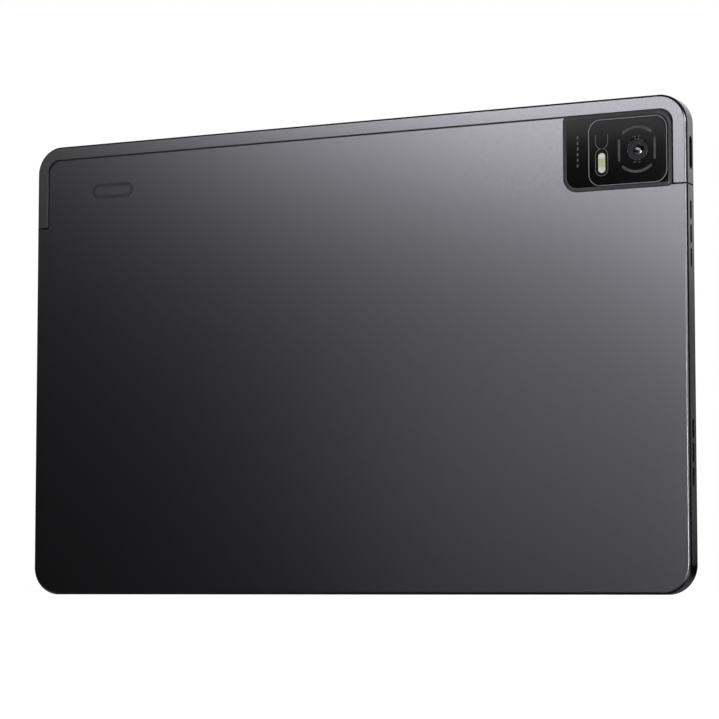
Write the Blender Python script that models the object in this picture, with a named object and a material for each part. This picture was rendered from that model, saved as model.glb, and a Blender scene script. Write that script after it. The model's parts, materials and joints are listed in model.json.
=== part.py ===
"""An eleven-inch tablet computer, standing on its long bottom edge with its screen towards -Y.

X runs along the long side, Z up the short side, and +Y is the rear, where the camera is. The origin is the
middle of the bottom edge, halfway through the thickness. Sizes below are in millimetres, and every mesh is
scaled by MM to Blender's metres. Each layer of the stack is a pair of depths along Y, front first.
"""

import math

import bmesh
import bpy

MM = 0.001

# --- driving dimensions: the casing --------------------------------------------------------------
WIDTH = 256.6
HEIGHT = 167.0
HALF = WIDTH / 2
MIDDLE = HEIGHT / 2
CORNER = 10.0
CORNER_STEPS = 8
FRONT = -3.5
REAR = 3.5
RIM_FRONT = -3.3
CHAMFER = 0.45
FRONT_CHAMFER = 0.2
WALL = 1.2
WALL_INSIDE = HALF - WALL
SKIN_INSIDE = 2.8
FIT = 0.15
BEYOND = 10.0
OVERCUT = 1.0
OVERLAP = 0.1
EDGE_STEPS = 3
SLOT_STEPS = 4

# --- the plastic antenna cover along the top -----------------------------------------------------
BAND_SIDE = 5.0
BAND_TOP = 5.2
BAND_RADIUS = 5.0
BAND_END = HEIGHT - 31.2
GROOVE = 0.4
TONGUE = 1.2
TONGUE_Y = (2.1, 2.7)
TONGUE_ROOT = 0.6
TONGUE_SIDE = (1.3, 2.0)
TONGUE_FRONT = -2.6
STOP_LENGTH = 2 * TONGUE
MICROPHONE_X = -11.25
MICROPHONE_Y = 0.0
MICROPHONE_RADIUS = 0.5

# --- the camera island, measured from the edge at -X and from the top ----------------------------
ISLAND_LEFT = 44.0 - HALF
ISLAND_RIGHT = 5.2 - HALF
ISLAND_TOP = HEIGHT - 5.2
ISLAND_BOTTOM = HEIGHT - 31.1
ISLAND_RADII = (1.0, 5.0, 1.0, 4.8)
ISLAND_Y = (2.2, 3.9)
ISLAND_CHAMFER = 0.35
WINDOW_LEFT = 34.5 - HALF
WINDOW_RIGHT = 6.3 - HALF
WINDOW_TOP = HEIGHT - 7.2
WINDOW_BOTTOM = HEIGHT - 30.0
WINDOW_RADIUS = 4.3
WINDOW_Y = (3.35, 5.0)
WINDOW_SEAT = 3.3
WINDOW_CHAMFER = 0.3
LENS_X = 17.0 - HALF
LENS_Z = HEIGHT - 18.3
LENS_RADIUS = 4.2
LENS_Y = (4.3, 4.95)
BARREL_RADIUS = 4.1
BARREL_Y = (2.25, 4.2)
MODULE_HALF = 5.0
MODULE_Y = (-0.65, 2.15)
FLASH_X = 29.6 - HALF
FLASH_Z = HEIGHT - 22.1
FLASH_SIZE = (2.6, 6.8)
FLASH_LENS_Y = (3.4, 4.95)
FLASH_LED_Y = (2.3, 3.2)
FLASH_LED_SIZE = (1.8, 4.0)

# --- the display stack ---------------------------------------------------------------------------
GLASS_INSET = 1.3
GLASS_Y = (-3.5, -2.9)
GLASS_EDGE = 0.15
PANEL_SIZE = (240.0, 151.0)
PANEL_Y = (-2.85, -1.95)
BACKLIGHT_SIZE = (240.4, 151.2)
BACKLIGHT_Y = (-1.9, -1.2)
POCKET_SIZE = (241.4, 152.4)
SMALL_RADIUS = 1.0
FRAME_INSET = 1.35
FRAME_Y = (-2.85, -0.75)
FRAME_FLOOR = -1.15
FRAME_NOTCH_GAP = 0.3
FLEX_GAP = 0.5
CAMERA_GAP = 0.4
FRONT_CAMERA_Z = HEIGHT - 4.4
FRONT_CAMERA_HALF = 2.4
FRONT_CAMERA_Y = (-2.2, 0.0)
FRONT_LENS_RADIUS = 1.6
FRONT_LENS_Y = (-2.85, -2.25)

# --- keys ----------------------------------------------------------------------------------------
KEY_Y = -0.6
KEY_WIDTH = 2.0
KEY_FLANGE_WIDTH = 2.8
POWER_Z = 147.15
POWER_LENGTH = 10.7
POWER_RECESS = 0.3
POWER_FLANGE = (1.3, 1.85)
POWER_FLANGE_LENGTH = 12.5
POWER_SWITCH = (2.35, 2.95)
POWER_SWITCH_RADIUS = 1.3
POWER_BRACKET = (3.0, 3.4)
POWER_BRACKET_LENGTH = 14.6
POWER_NOTCH = (3.8, 16.0)
VOLUME_X = 24.65 - HALF
VOLUME_LENGTH = 20.8
VOLUME_PROUD = 0.2
VOLUME_PIVOT_Z = HEIGHT - 1.6
VOLUME_FLANGE = (1.55, 2.1)
VOLUME_FLANGE_LENGTH = 22.4
VOLUME_SWITCH = (2.45, 3.1)
VOLUME_SWITCH_RADIUS = 1.1
VOLUME_SWITCH_STEP = 7.0
KEY_FLEX = (3.15, 3.4)
VOLUME_NOTCH = (3.7, 25.4)

# --- sound ---------------------------------------------------------------------------------------
SPEAKER_Z = (46.8, 119.8)
SPEAKER_X = (108.0, 126.8)
SPEAKER_LENGTH = 21.6
SPEAKER_Y = (-0.65, 2.05)
SLOT_Y = -0.15
SLOT_WIDTH = 1.5
SLOT_LENGTH = 6.3
SLOT_PITCH = 8.0
MESH_X = (126.85, 127.05)
MESH_LENGTH = 23.2
MESH_WIDTH = 2.0
MESH_NOTCH = (1.9, 24.6)
MESH_NOTCH_Y = (-1.6, 1.0)

# --- the socket and the card tray at +X ----------------------------------------------------------
SOCKET_Z = MIDDLE
SOCKET_OUTER = (3.16, 8.94)
SOCKET_INNER = (2.56, 8.34)
SOCKET_HOLE = (3.4, 9.2)
SOCKET_X = (120.9, 128.1)
SOCKET_BACK = 121.6
SOCKET_NOTCH = (-0.4, 0.6)
SOCKET_NOTCH_Y = (-1.8, 1.0)
TONGUE_PLATE_X = (121.65, 126.9)
TONGUE_PLATE = (0.7, 6.7)
TRAY_Z = 101.0
TRAY_Y = 0.2
TRAY_HEAD = (1.8, 12.6)
TRAY_HEAD_X = (127.15, HALF)
TRAY_X = (104.6, 127.4)
TRAY_SIZE = (0.75, 11.2)
TRAY_POCKETS = ((105.6, 114.2), (115.4, 124.6))
TRAY_POCKET_LENGTH = 8.9
READER_X = (103.4, 126.6)
READER_SIZE = (1.7, 13.4)
READER_SLOT = (1.0, 11.6)
READER_BACK = 104.3

# --- boards, battery and what joins them ---------------------------------------------------------
BOARD_Y = (0.2, 0.9)
THROUGH_BOARD_Y = (0.0, 1.2)
BOARD_NOTCH = (-0.3, 0.6)
ON_BOARD = 0.95
MAINBOARD_X = (-80.0, 60.0)
MAINBOARD_Z = (133.0, 158.5)
SUB_BOARD_X = (96.0, 121.5)
SUB_BOARD_Z = (62.0, 108.8)
CHIPS = {
    "processor_chip": ((-54.0, -40.0), (139.0, 153.0), 1.0),
    "memory_chip": ((-37.0, -27.0), (139.0, 153.0), 0.8),
    "microphone": ((-13.0, -9.5), (154.5, 157.0), 0.9),
    "camera_connector": ((-79.0, -71.0), (144.6, 149.8), 0.45),
    "link_connector_main": ((33.5, 38.5), (138.2, 143.8), 0.45),
    "link_connector_sub": ((96.4, 99.4), (87.4, 92.6), 0.45),
}
SHIELD_CANS = {
    "shield_can_processor": ((-60.0, -22.0), (136.0, 156.0), 1.45),
    "shield_can_radio": ((4.0, 27.0), (138.0, 154.0), 1.1),
}
CAN_WALL = 0.2
GRAPHITE = ((-66.0, -10.0), (2.45, 2.6), (134.0, 157.5))
CELL_X = (2.0, 79.0)
CELL_Z = (10.0, 124.6)
CELL_Y = (-0.65, 2.15)
CELL_RADIUS = 2.0
BATTERY_BOARD = ((-28.0, 28.0), (0.2, 1.3), (125.2, 130.0))
FLEX_Y = (1.45, 1.57)
BATTERY_FLEX = ((-6.0, 2.0), FLEX_Y, (126.4, 139.0))
CAMERA_FLEX = ((LENS_X + MODULE_HALF + OVERLAP, -72.0), FLEX_Y, (144.8, 149.6))
LINK_FLEX_FAR = ((33.0, 138.5), (33.0, 143.5), (94.5, 143.5), (94.5, 92.5))
LINK_FLEX_NEAR = ((99.5, 92.5), (99.5, 87.5), (89.5, 87.5), (89.5, 138.5))
DISPLAY_FLEX_X = (42.0, 54.0)
DISPLAY_FLEX = ((-2.3, 159.3), (-2.3, 159.42), (1.12, 159.42), (1.12, 150.0), (1.0, 150.0), (1.0, 159.3))
FLEX_SLOT_Z = (158.9, 159.69)
ANTENNAS = {
    "antenna_wifi": ((70.0, 104.0), (1.85, 2.0), (160.0, 164.6)),
    "antenna_cellular": ((-70.0, -30.0), (1.85, 2.0), (160.0, 164.6)),
}
SCREWS = {
    "mainboard_screw_1": (-77.0, 135.8),
    "mainboard_screw_2": (-77.0, 155.8),
    "mainboard_screw_3": (57.4, 135.8),
    "mainboard_screw_4": (57.4, 155.8),
    "sub_board_screw_1": (99.0, 65.0),
    "sub_board_screw_2": (99.0, 107.2),
}
SCREW_HEAD = 1.5
SCREW_HEAD_Y = (0.95, 1.45)
SCREW_SHANK = 0.6
SCREW_SHANK_Y = (-0.6, 1.1)
SCREW_HOLE = 0.75
BOSS_RADIUS = 1.9
BOSS_Y = (-0.9, 0.15)
BOSS_DRILL_Y = (-0.72, 1.0)
ROUND_STEPS = 24
SMALL_STEPS = 14

# --- colours as sRGB hex, with roughness and metallic --------------------------------------------
FINISHES = {
    "anodised_aluminium": ("6b6a70", 0.38, 0.9),
    "painted_plastic": ("77767b", 0.4, 0.5),
    "black_glass": ("0b0b0d", 0.06, 0.0),
    "clear_glass": ("1a1d24", 0.03, 0.0),
    "flash_lens": ("e6e8c8", 0.25, 0.0),
    "dark_metal": ("3a3a3e", 0.35, 0.9),
    "display_glass": ("101114", 0.1, 0.0),
    "white_film": ("d9dadb", 0.5, 0.0),
    "frame_alloy": ("9a9a9c", 0.5, 0.9),
    "pouch_foil": ("b5b6b8", 0.4, 0.9),
    "board_green": ("1d4a38", 0.5, 0.0),
    "chip_black": ("1b1b1d", 0.6, 0.0),
    "steel": ("b9babc", 0.3, 0.9),
    "flex_amber": ("8a5a1e", 0.5, 0.0),
    "black_plastic": ("1c1c1e", 0.6, 0.0),
    "graphite": ("3a3b3d", 0.7, 0.2),
    "mesh_cloth": ("141415", 0.9, 0.0),
}


def linear(channel):
    """One sRGB channel from 0 to 1 as linear light."""
    if channel <= 0.04045:
        return channel / 12.92
    return ((channel + 0.055) / 1.055) ** 2.4


def finish(name):
    """The named finish as a material, made once."""
    if name in bpy.data.materials:
        return bpy.data.materials[name]
    shade, roughness, metallic = FINISHES[name]
    made = bpy.data.materials.new(name)
    made.use_nodes = True
    shader = made.node_tree.nodes["Principled BSDF"]
    colour = [linear(int(shade[i : i + 2], 16) / 255) for i in (0, 2, 4)]
    shader.inputs["Base Color"].default_value = (*colour, 1.0)
    shader.inputs["Roughness"].default_value = roughness
    shader.inputs["Metallic"].default_value = metallic
    return made


# --- outlines: lists of points in the plane that an extrusion starts from ------------------------
def rectangle(across, up, radii=(0.0, 0.0, 0.0, 0.0), steps=CORNER_STEPS):
    """Corners anticlockwise from bottom left, each rounded by its own radius or sharp where that is 0."""
    (left, right), (bottom, top) = across, up
    corners = (
        (left, bottom, 1, 1, 180),
        (right, bottom, -1, 1, 270),
        (right, top, -1, -1, 0),
        (left, top, 1, -1, 90),
    )
    points = []
    for (x, z, inward_x, inward_z, start), radius in zip(corners, radii):
        if radius == 0:
            points.append((x, z))
            continue
        for step in range(steps + 1):
            angle = math.radians(start + 90 * step / steps)
            centre = (x + inward_x * radius, z + inward_z * radius)
            points.append((centre[0] + radius * math.cos(angle), centre[1] + radius * math.sin(angle)))
    return points


def around(centre, size):
    """The pair of ends of a stretch of this size about a centre."""
    return centre - size / 2, centre + size / 2


def widened(pair, by):
    return pair[0] - by, pair[1] + by


def slot(centre, size, steps=CORNER_STEPS):
    """A slot with round ends, size being its extent in the two directions."""
    radius = 0.499 * min(size)
    return rectangle(around(centre[0], size[0]), around(centre[1], size[1]), (radius,) * 4, steps)


def circle(centre, radius, steps=ROUND_STEPS):
    turns = [2 * math.pi * step / steps for step in range(steps)]
    return [(centre[0] + radius * math.cos(t), centre[1] + radius * math.sin(t)) for t in turns]


def casing(inset):
    """The casing's outline, moved inwards."""
    return rectangle((inset - HALF, HALF - inset), (inset, HEIGHT - inset), (CORNER - inset,) * 4)


def band(offset):
    """The area of the antenna cover: all that lies outside the seam. A positive offset makes it smaller."""
    side = HALF - BAND_SIDE + offset
    top = HEIGHT - BAND_TOP + offset
    end = BAND_END + offset
    radius = BAND_RADIUS + offset
    arch = rectangle((-side, side), (end, top), (0, 0, radius, radius))
    outer = [(HALF + BEYOND, end), (HALF + BEYOND, HEIGHT + BEYOND), (-HALF - BEYOND, HEIGHT + BEYOND)]
    outer.append((-HALF - BEYOND, end))
    return arch[1:] + [arch[0]] + outer[::-1]


def island(offset):
    """The camera plate's outline, moved outwards."""
    across = widened((ISLAND_RIGHT, ISLAND_LEFT), offset)
    up = widened((ISLAND_BOTTOM, ISLAND_TOP), offset)
    return rectangle(across, up, [radius + offset for radius in ISLAND_RADII])


def window(offset):
    """The raised glass's outline, moved outwards."""
    across = widened((WINDOW_RIGHT, WINDOW_LEFT), offset)
    return rectangle(across, widened((WINDOW_BOTTOM, WINDOW_TOP), offset), (WINDOW_RADIUS + offset,) * 4)


# --- solids --------------------------------------------------------------------------------------
def along_y(u, v, depth):
    return u * MM, depth * MM, v * MM


def along_x(u, v, depth):
    return depth * MM, u * MM, v * MM


def along_z(u, v, depth):
    return u * MM, v * MM, depth * MM


def loft(name, rings, finish_name, place=along_y):
    """A closed solid through rings of points, each an outline and its depth, capped at both ends."""
    mesh = bmesh.new()
    loops = [[mesh.verts.new(place(u, v, depth)) for u, v in outline] for outline, depth in rings]
    for first, second in zip(loops, loops[1:]):
        for i in range(len(first)):
            mesh.faces.new((first[i - 1], first[i], second[i], second[i - 1]))
    mesh.faces.new(loops[0])
    mesh.faces.new(loops[-1])
    bmesh.ops.recalc_face_normals(mesh, faces=mesh.faces)
    data = bpy.data.meshes.new(name)
    mesh.to_mesh(data)
    mesh.free()
    data.shade_smooth()
    data.set_sharp_from_angle(angle=math.radians(30))
    data.materials.append(finish(finish_name))
    piece = bpy.data.objects.new(name, data)
    bpy.context.collection.objects.link(piece)
    return piece


def prism(name, outline, depths, finish_name, place=along_y):
    return loft(name, [(outline, depths[0]), (outline, depths[1])], finish_name, place)


def block(name, x, y, z, finish_name):
    return prism(name, rectangle(x, z), y, finish_name)


def combine(piece, tool, operation):
    """Leaves an exact Boolean on the piece, with the tool kept out of the model."""
    tool.name = f"{operation.lower()}_{tool.name}"
    tool.hide_render = True
    tool.display_type = "WIRE"
    modifier = piece.modifiers.new(tool.name, "BOOLEAN")
    modifier.solver = "EXACT"
    modifier.operation = operation
    modifier.object = tool


def cut(piece, outline, depths, place=along_y):
    combine(piece, prism("cutter", outline, depths, "dark_metal", place), "DIFFERENCE")


def cut_block(piece, x, y, z):
    cut(piece, rectangle(x, z), y)


def move_origin(piece, x, y, z):
    """Puts the piece's origin on its joint's axis without moving its shape."""
    for vertex in piece.data.vertices:
        vertex.co.x -= x * MM
        vertex.co.y -= y * MM
        vertex.co.z -= z * MM
    piece.location = (x * MM, y * MM, z * MM)


# --- casing --------------------------------------------------------------------------------------
def tray(name, finish_name):
    """The whole casing, rear skin and side wall, before the seam divides it in two."""
    rings = (
        (casing(CHAMFER), REAR),
        (casing(0.0), REAR - CHAMFER),
        (casing(0.0), RIM_FRONT + FRONT_CHAMFER),
        (casing(FRONT_CHAMFER), RIM_FRONT),
        (casing(WALL), RIM_FRONT),
        (casing(WALL), SKIN_INSIDE),
    )
    return loft(name, rings, finish_name)


def cut_speaker_slots(piece):
    """Three slots for each of the four speakers, through both short side walls."""
    wall = (WALL_INSIDE - OVERCUT, HALF + OVERCUT)
    for centre in SPEAKER_Z:
        for step in (-1, 0, 1):
            outline = slot((SLOT_Y, centre + step * SLOT_PITCH), (SLOT_WIDTH, SLOT_LENGTH), SLOT_STEPS)
            cut(piece, outline, wall, along_x)
            cut(piece, outline, (-wall[1], -wall[0]), along_x)


def rear_cover():
    piece = tray("rear_cover", "anodised_aluminium")
    through = (FRONT - OVERCUT, REAR + OVERCUT)
    cut(piece, band(-GROOVE / 2), through)
    cut(piece, island(FIT), through)
    cut_speaker_slots(piece)
    wall = (WALL_INSIDE - OVERCUT, HALF + OVERCUT)
    cut(piece, slot((0.0, SOCKET_Z), SOCKET_HOLE), wall, along_x)
    head = (TRAY_HEAD[0] + 2 * FIT, TRAY_HEAD[1] + 2 * FIT)
    cut(piece, slot((TRAY_Y, TRAY_Z), head), wall, along_x)


def arch_strip(outer, inner, end):
    """A strip that follows the seam round three sides, between two insets from the casing's edge."""
    side = HALF - inner
    top = HEIGHT - inner - BAND_TOP + BAND_SIDE
    inside = rectangle((-side, side), (end, top), (0, 0, BAND_RADIUS, BAND_RADIUS))
    edge = HALF - outer
    outside = rectangle((-edge, edge), (end, HEIGHT - outer), (0, 0, CORNER - outer, CORNER - outer))
    return inside[1:] + [inside[0]] + [outside[0]] + outside[:0:-1]


def add_stops(piece):
    """A tab at each end of the arch, which runs down inside the side wall past the seam."""
    seam = GROOVE / 2
    y = (TONGUE_FRONT, TONGUE_Y[0] + 2 * OVERLAP)
    steps = ((TONGUE_SIDE[0], BAND_END - TONGUE), (TONGUE_ROOT, BAND_END + seam + 2 * OVERLAP))
    for side in (-1, 1):
        for inset, low in steps:
            x = sorted((side * (HALF - inset), side * (HALF - TONGUE_SIDE[1])))
            stop = block("stop", x, y, (low, BAND_END + STOP_LENGTH), "painted_plastic")
            combine(piece, stop, "UNION")


def cut_key_slots(piece):
    """The keys' slots and the microphone's hole."""
    side_wall = (-HALF - OVERCUT, OVERCUT - WALL_INSIDE)
    cut(piece, slot((KEY_Y, POWER_Z), (KEY_WIDTH, POWER_LENGTH)), side_wall, along_x)
    top_wall = (HEIGHT - WALL - OVERCUT, HEIGHT + OVERCUT)
    hole = (VOLUME_LENGTH + 2 * FIT, KEY_WIDTH)
    cut(piece, slot((VOLUME_X, KEY_Y), hole), top_wall, along_z)
    port = circle((MICROPHONE_X, MICROPHONE_Y), MICROPHONE_RADIUS, SMALL_STEPS)
    cut(piece, port, top_wall, along_z)


def antenna_cover():
    """The plastic strip that lets radio waves out: the casing outside the seam, with a tongue under it."""
    piece = tray("antenna_cover", "painted_plastic")
    seam = GROOVE / 2
    area = prism("area", band(seam), (FRONT - OVERCUT, REAR + OVERCUT), "dark_metal")
    combine(piece, area, "INTERSECT")
    root = arch_strip(TONGUE_ROOT, BAND_SIDE - seam, BAND_END + seam + OVERLAP)
    combine(piece, prism("root", root, (TONGUE_Y[0], SKIN_INSIDE + OVERLAP), "painted_plastic"), "UNION")
    lip = arch_strip(TONGUE_SIDE[0], BAND_SIDE + TONGUE, BAND_END - TONGUE)
    combine(piece, prism("lip", lip, TONGUE_Y, "painted_plastic"), "UNION")
    add_stops(piece)
    cut(piece, island(FIT), (FRONT, REAR + OVERCUT))
    cut_key_slots(piece)


# --- camera island -------------------------------------------------------------------------------
def camera_island():
    low, high = ISLAND_Y
    rings = ((island(0), low), (island(0), high - ISLAND_CHAMFER), (island(-ISLAND_CHAMFER), high))
    plate = loft("camera_plate", rings, "black_glass")
    flash_hole = slot((FLASH_X, FLASH_Z), (FLASH_SIZE[0] + FIT, FLASH_SIZE[1] + FIT))
    cut(plate, window(FIT), (WINDOW_SEAT, high + OVERCUT))
    cut(plate, circle((LENS_X, LENS_Z), BARREL_RADIUS + FIT), (low - OVERCUT, high))
    cut(plate, flash_hole, (low - OVERCUT, high))
    low, high = WINDOW_Y
    rings = ((window(0), low), (window(0), high - WINDOW_CHAMFER), (window(-WINDOW_CHAMFER), high))
    glass = loft("camera_window", rings, "black_glass")
    through = (low - OVERCUT, high + OVERCUT)
    cut(glass, circle((LENS_X, LENS_Z), LENS_RADIUS + FIT), through)
    cut(glass, flash_hole, through)
    prism("camera_lens", circle((LENS_X, LENS_Z), LENS_RADIUS), LENS_Y, "clear_glass")
    prism("camera_barrel", circle((LENS_X, LENS_Z), BARREL_RADIUS), BARREL_Y, "dark_metal")
    module = (around(LENS_X, 2 * MODULE_HALF), MODULE_Y, around(LENS_Z, 2 * MODULE_HALF))
    block("rear_camera_module", *module, "black_plastic")
    block("rear_camera_flex", *CAMERA_FLEX, "flex_amber")
    prism("flash_lens", slot((FLASH_X, FLASH_Z), FLASH_SIZE), FLASH_LENS_Y, "flash_lens")
    wide, long = FLASH_LED_SIZE
    block("flash_led", around(FLASH_X, wide), FLASH_LED_Y, around(FLASH_Z, long), "flash_lens")


# --- display and frame ---------------------------------------------------------------------------
def panel(name, size, depths, finish_name, radius=SMALL_RADIUS):
    """A flat sheet centred on the face of the tablet."""
    outline = rectangle(around(0.0, size[0]), around(MIDDLE, size[1]), (radius,) * 4, EDGE_STEPS)
    return prism(name, outline, depths, finish_name)


def display():
    front, back = GLASS_Y
    inner = casing(GLASS_INSET)
    rings = ((casing(GLASS_INSET + GLASS_EDGE), front), (inner, front + GLASS_EDGE), (inner, back))
    loft("cover_glass", rings, "display_glass")
    panel("display_panel", PANEL_SIZE, PANEL_Y, "display_glass")
    panel("backlight_unit", BACKLIGHT_SIZE, BACKLIGHT_Y, "white_film")
    prism("display_flex", DISPLAY_FLEX, DISPLAY_FLEX_X, "flex_amber", along_x)
    lens = circle((0.0, FRONT_CAMERA_Z), FRONT_LENS_RADIUS)
    prism("front_camera_lens", lens, FRONT_LENS_Y, "clear_glass")
    module = (around(0.0, 2 * FRONT_CAMERA_HALF), FRONT_CAMERA_Y)
    block("front_camera_module", *module, around(FRONT_CAMERA_Z, 2 * FRONT_CAMERA_HALF), "black_plastic")


def notch_frame(piece):
    """Room in the frame's edge for the keys, speakers, socket, tray and the antenna cover's stops."""
    through = (FRONT, REAR)
    depth, length = POWER_NOTCH
    edge = HALF + OVERCUT
    cut_block(piece, (-edge, depth - HALF), through, around(POWER_Z, length))
    depth, length = VOLUME_NOTCH
    cut_block(piece, around(VOLUME_X, length), through, (HEIGHT - depth, HEIGHT + OVERCUT))
    stop_z = widened((BAND_END - TONGUE, BAND_END + STOP_LENGTH), FRAME_NOTCH_GAP)
    for side in (-1, 1):
        for centre in SPEAKER_Z:
            x = sorted((side * (HALF - MESH_NOTCH[0]), side * edge))
            cut_block(piece, x, MESH_NOTCH_Y, around(centre, MESH_NOTCH[1]))
        x = sorted((side * (HALF - TONGUE_SIDE[1] - FRAME_NOTCH_GAP), side * edge))
        cut_block(piece, x, through, stop_z)
    back, room = SOCKET_NOTCH
    cut_block(piece, (SOCKET_X[0] + back, edge), SOCKET_NOTCH_Y, around(SOCKET_Z, SOCKET_OUTER[1] + room))
    size = 2 * FRONT_CAMERA_HALF + CAMERA_GAP
    cut_block(piece, around(0.0, size), through, around(FRONT_CAMERA_Z, size))
    cut_block(piece, widened(DISPLAY_FLEX_X, FLEX_GAP), through, FLEX_SLOT_Z)


def mid_frame():
    """The alloy tray that holds the display in front and the battery and boards behind."""
    piece = prism("mid_frame", casing(FRAME_INSET), FRAME_Y, "frame_alloy")
    across, up = around(0.0, POCKET_SIZE[0]), around(MIDDLE, POCKET_SIZE[1])
    pocket = rectangle(across, up, (SMALL_RADIUS,) * 4, EDGE_STEPS)
    cut(piece, pocket, (FRONT, FRAME_FLOOR))
    notch_frame(piece)
    for centre in SCREWS.values():
        boss = prism("boss", circle(centre, BOSS_RADIUS, SMALL_STEPS), BOSS_Y, "frame_alloy")
        combine(piece, boss, "UNION")
        cut(piece, circle(centre, SCREW_HOLE, SMALL_STEPS), BOSS_DRILL_Y)


# --- keys ----------------------------------------------------------------------------------------
def power_key():
    cap = slot((KEY_Y, POWER_Z), (KEY_WIDTH - 2 * FIT, POWER_LENGTH - 2 * FIT))
    depths = (POWER_RECESS - HALF, POWER_FLANGE[1] - HALF)
    button = prism("power_button", cap, depths, "dark_metal", along_x)
    flange = slot((KEY_Y, POWER_Z), (KEY_FLANGE_WIDTH, POWER_FLANGE_LENGTH))
    depths = (POWER_FLANGE[0] - HALF, POWER_FLANGE[1] - HALF)
    combine(button, prism("flange", flange, depths, "dark_metal", along_x), "UNION")
    move_origin(button, POWER_RECESS - HALF, KEY_Y, POWER_Z)
    dome = circle((KEY_Y, POWER_Z), POWER_SWITCH_RADIUS, SMALL_STEPS)
    prism("power_switch", dome, [depth - HALF for depth in POWER_SWITCH], "steel", along_x)
    x = [depth - HALF for depth in POWER_BRACKET]
    z = around(POWER_Z, POWER_BRACKET_LENGTH)
    block("power_bracket", x, around(KEY_Y, KEY_FLANGE_WIDTH), z, "steel")


def volume_rocker():
    cap = slot((VOLUME_X, KEY_Y), (VOLUME_LENGTH, KEY_WIDTH - 2 * FIT))
    top = HEIGHT + VOLUME_PROUD
    key = prism("volume_key", cap, (HEIGHT - VOLUME_FLANGE[1], top), "anodised_aluminium", along_z)
    flange = slot((VOLUME_X, KEY_Y), (VOLUME_FLANGE_LENGTH, KEY_FLANGE_WIDTH))
    depths = (HEIGHT - VOLUME_FLANGE[1], HEIGHT - VOLUME_FLANGE[0])
    combine(key, prism("flange", flange, depths, "dark_metal", along_z), "UNION")
    move_origin(key, VOLUME_X, KEY_Y, VOLUME_PIVOT_Z)
    for name, side in (("volume_switch_up", -1), ("volume_switch_down", 1)):
        centre = (VOLUME_X + side * VOLUME_SWITCH_STEP, KEY_Y)
        depths = (HEIGHT - VOLUME_SWITCH[1], HEIGHT - VOLUME_SWITCH[0])
        prism(name, circle(centre, VOLUME_SWITCH_RADIUS, SMALL_STEPS), depths, "steel", along_z)
    z = (HEIGHT - KEY_FLEX[1], HEIGHT - KEY_FLEX[0])
    x = around(VOLUME_X, VOLUME_FLANGE_LENGTH)
    block("side_key_flex", x, around(KEY_Y, KEY_WIDTH), z, "flex_amber")


# --- sound ---------------------------------------------------------------------------------------
def speakers():
    """A speaker box and a dust mesh behind each group of slots."""
    for place, centre in zip(("lower", "upper"), SPEAKER_Z):
        for hand, side in (("right", -1), ("left", 1)):
            x = sorted(side * value for value in SPEAKER_X)
            outline = rectangle(x, around(centre, SPEAKER_LENGTH), (SMALL_RADIUS,) * 4, EDGE_STEPS)
            prism(f"speaker_{place}_{hand}", outline, SPEAKER_Y, "black_plastic")
            x = sorted(side * value for value in MESH_X)
            outline = slot((SLOT_Y, centre), (MESH_WIDTH, MESH_LENGTH), SLOT_STEPS)
            prism(f"speaker_mesh_{place}_{hand}", outline, x, "mesh_cloth", along_x)


# --- the socket and the card tray ----------------------------------------------------------------
def charging_socket():
    shell = prism("usb_c_shell", slot((0.0, SOCKET_Z), SOCKET_OUTER), SOCKET_X, "steel", along_x)
    cut(shell, slot((0.0, SOCKET_Z), SOCKET_INNER), (SOCKET_BACK, HALF + OVERCUT), along_x)
    y, z = around(0.0, TONGUE_PLATE[0]), around(SOCKET_Z, TONGUE_PLATE[1])
    block("usb_c_tongue", TONGUE_PLATE_X, y, z, "black_plastic")


def card_tray():
    """The tray's head closes the hole in the wall, and its plate carries two cards into the reader."""
    head = slot((TRAY_Y, TRAY_Z), TRAY_HEAD)
    piece = prism("card_tray", head, TRAY_HEAD_X, "anodised_aluminium", along_x)
    y, z = around(TRAY_Y, TRAY_SIZE[0]), around(TRAY_Z, TRAY_SIZE[1])
    plate = block("plate", TRAY_X, y, z, "black_plastic")
    combine(piece, plate, "UNION")
    for pocket in TRAY_POCKETS:
        cut_block(piece, pocket, around(TRAY_Y, 2 * TRAY_SIZE[0]), around(TRAY_Z, TRAY_POCKET_LENGTH))
    y, z = around(TRAY_Y, READER_SIZE[0]), around(TRAY_Z, READER_SIZE[1])
    reader = block("card_reader", READER_X, y, z, "steel")
    mouth = (READER_BACK, READER_X[1] + OVERCUT)
    cut_block(reader, mouth, around(TRAY_Y, READER_SLOT[0]), around(TRAY_Z, READER_SLOT[1]))


# --- electronics ---------------------------------------------------------------------------------
def shield_can(name, x, z, height):
    """A folded steel lid, open towards the board."""
    can = block(name, x, (ON_BOARD, ON_BOARD + height), z, "steel")
    inside = (ON_BOARD - OVERCUT, ON_BOARD + height - CAN_WALL)
    cut_block(can, widened(x, -CAN_WALL), inside, widened(z, -CAN_WALL))


def boards():
    main = block("mainboard", MAINBOARD_X, BOARD_Y, MAINBOARD_Z, "board_green")
    sub = block("sub_board", SUB_BOARD_X, BOARD_Y, SUB_BOARD_Z, "board_green")
    beyond = SUB_BOARD_X[1] + OVERCUT
    back, room = BOARD_NOTCH
    for start, centre, length in (
        (SOCKET_X[0], SOCKET_Z, SOCKET_OUTER[1]),
        (READER_X[0], TRAY_Z, READER_SIZE[1]),
    ):
        cut_block(sub, (start + back, beyond), THROUGH_BOARD_Y, around(centre, length + room))
    for name, centre in SCREWS.items():
        board = main if name.startswith("mainboard") else sub
        cut(board, circle(centre, SCREW_HOLE, SMALL_STEPS), THROUGH_BOARD_Y)
    for name, (x, z, height) in CHIPS.items():
        block(name, x, (ON_BOARD, ON_BOARD + height), z, "chip_black")
    for name, (x, z, height) in SHIELD_CANS.items():
        shield_can(name, x, z, height)
    block("graphite_sheet", *GRAPHITE, "graphite")
    prism("link_flex", LINK_FLEX_FAR + LINK_FLEX_NEAR, FLEX_Y, "flex_amber")
    for name, (x, y, z) in ANTENNAS.items():
        block(name, x, y, z, "flex_amber")


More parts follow.
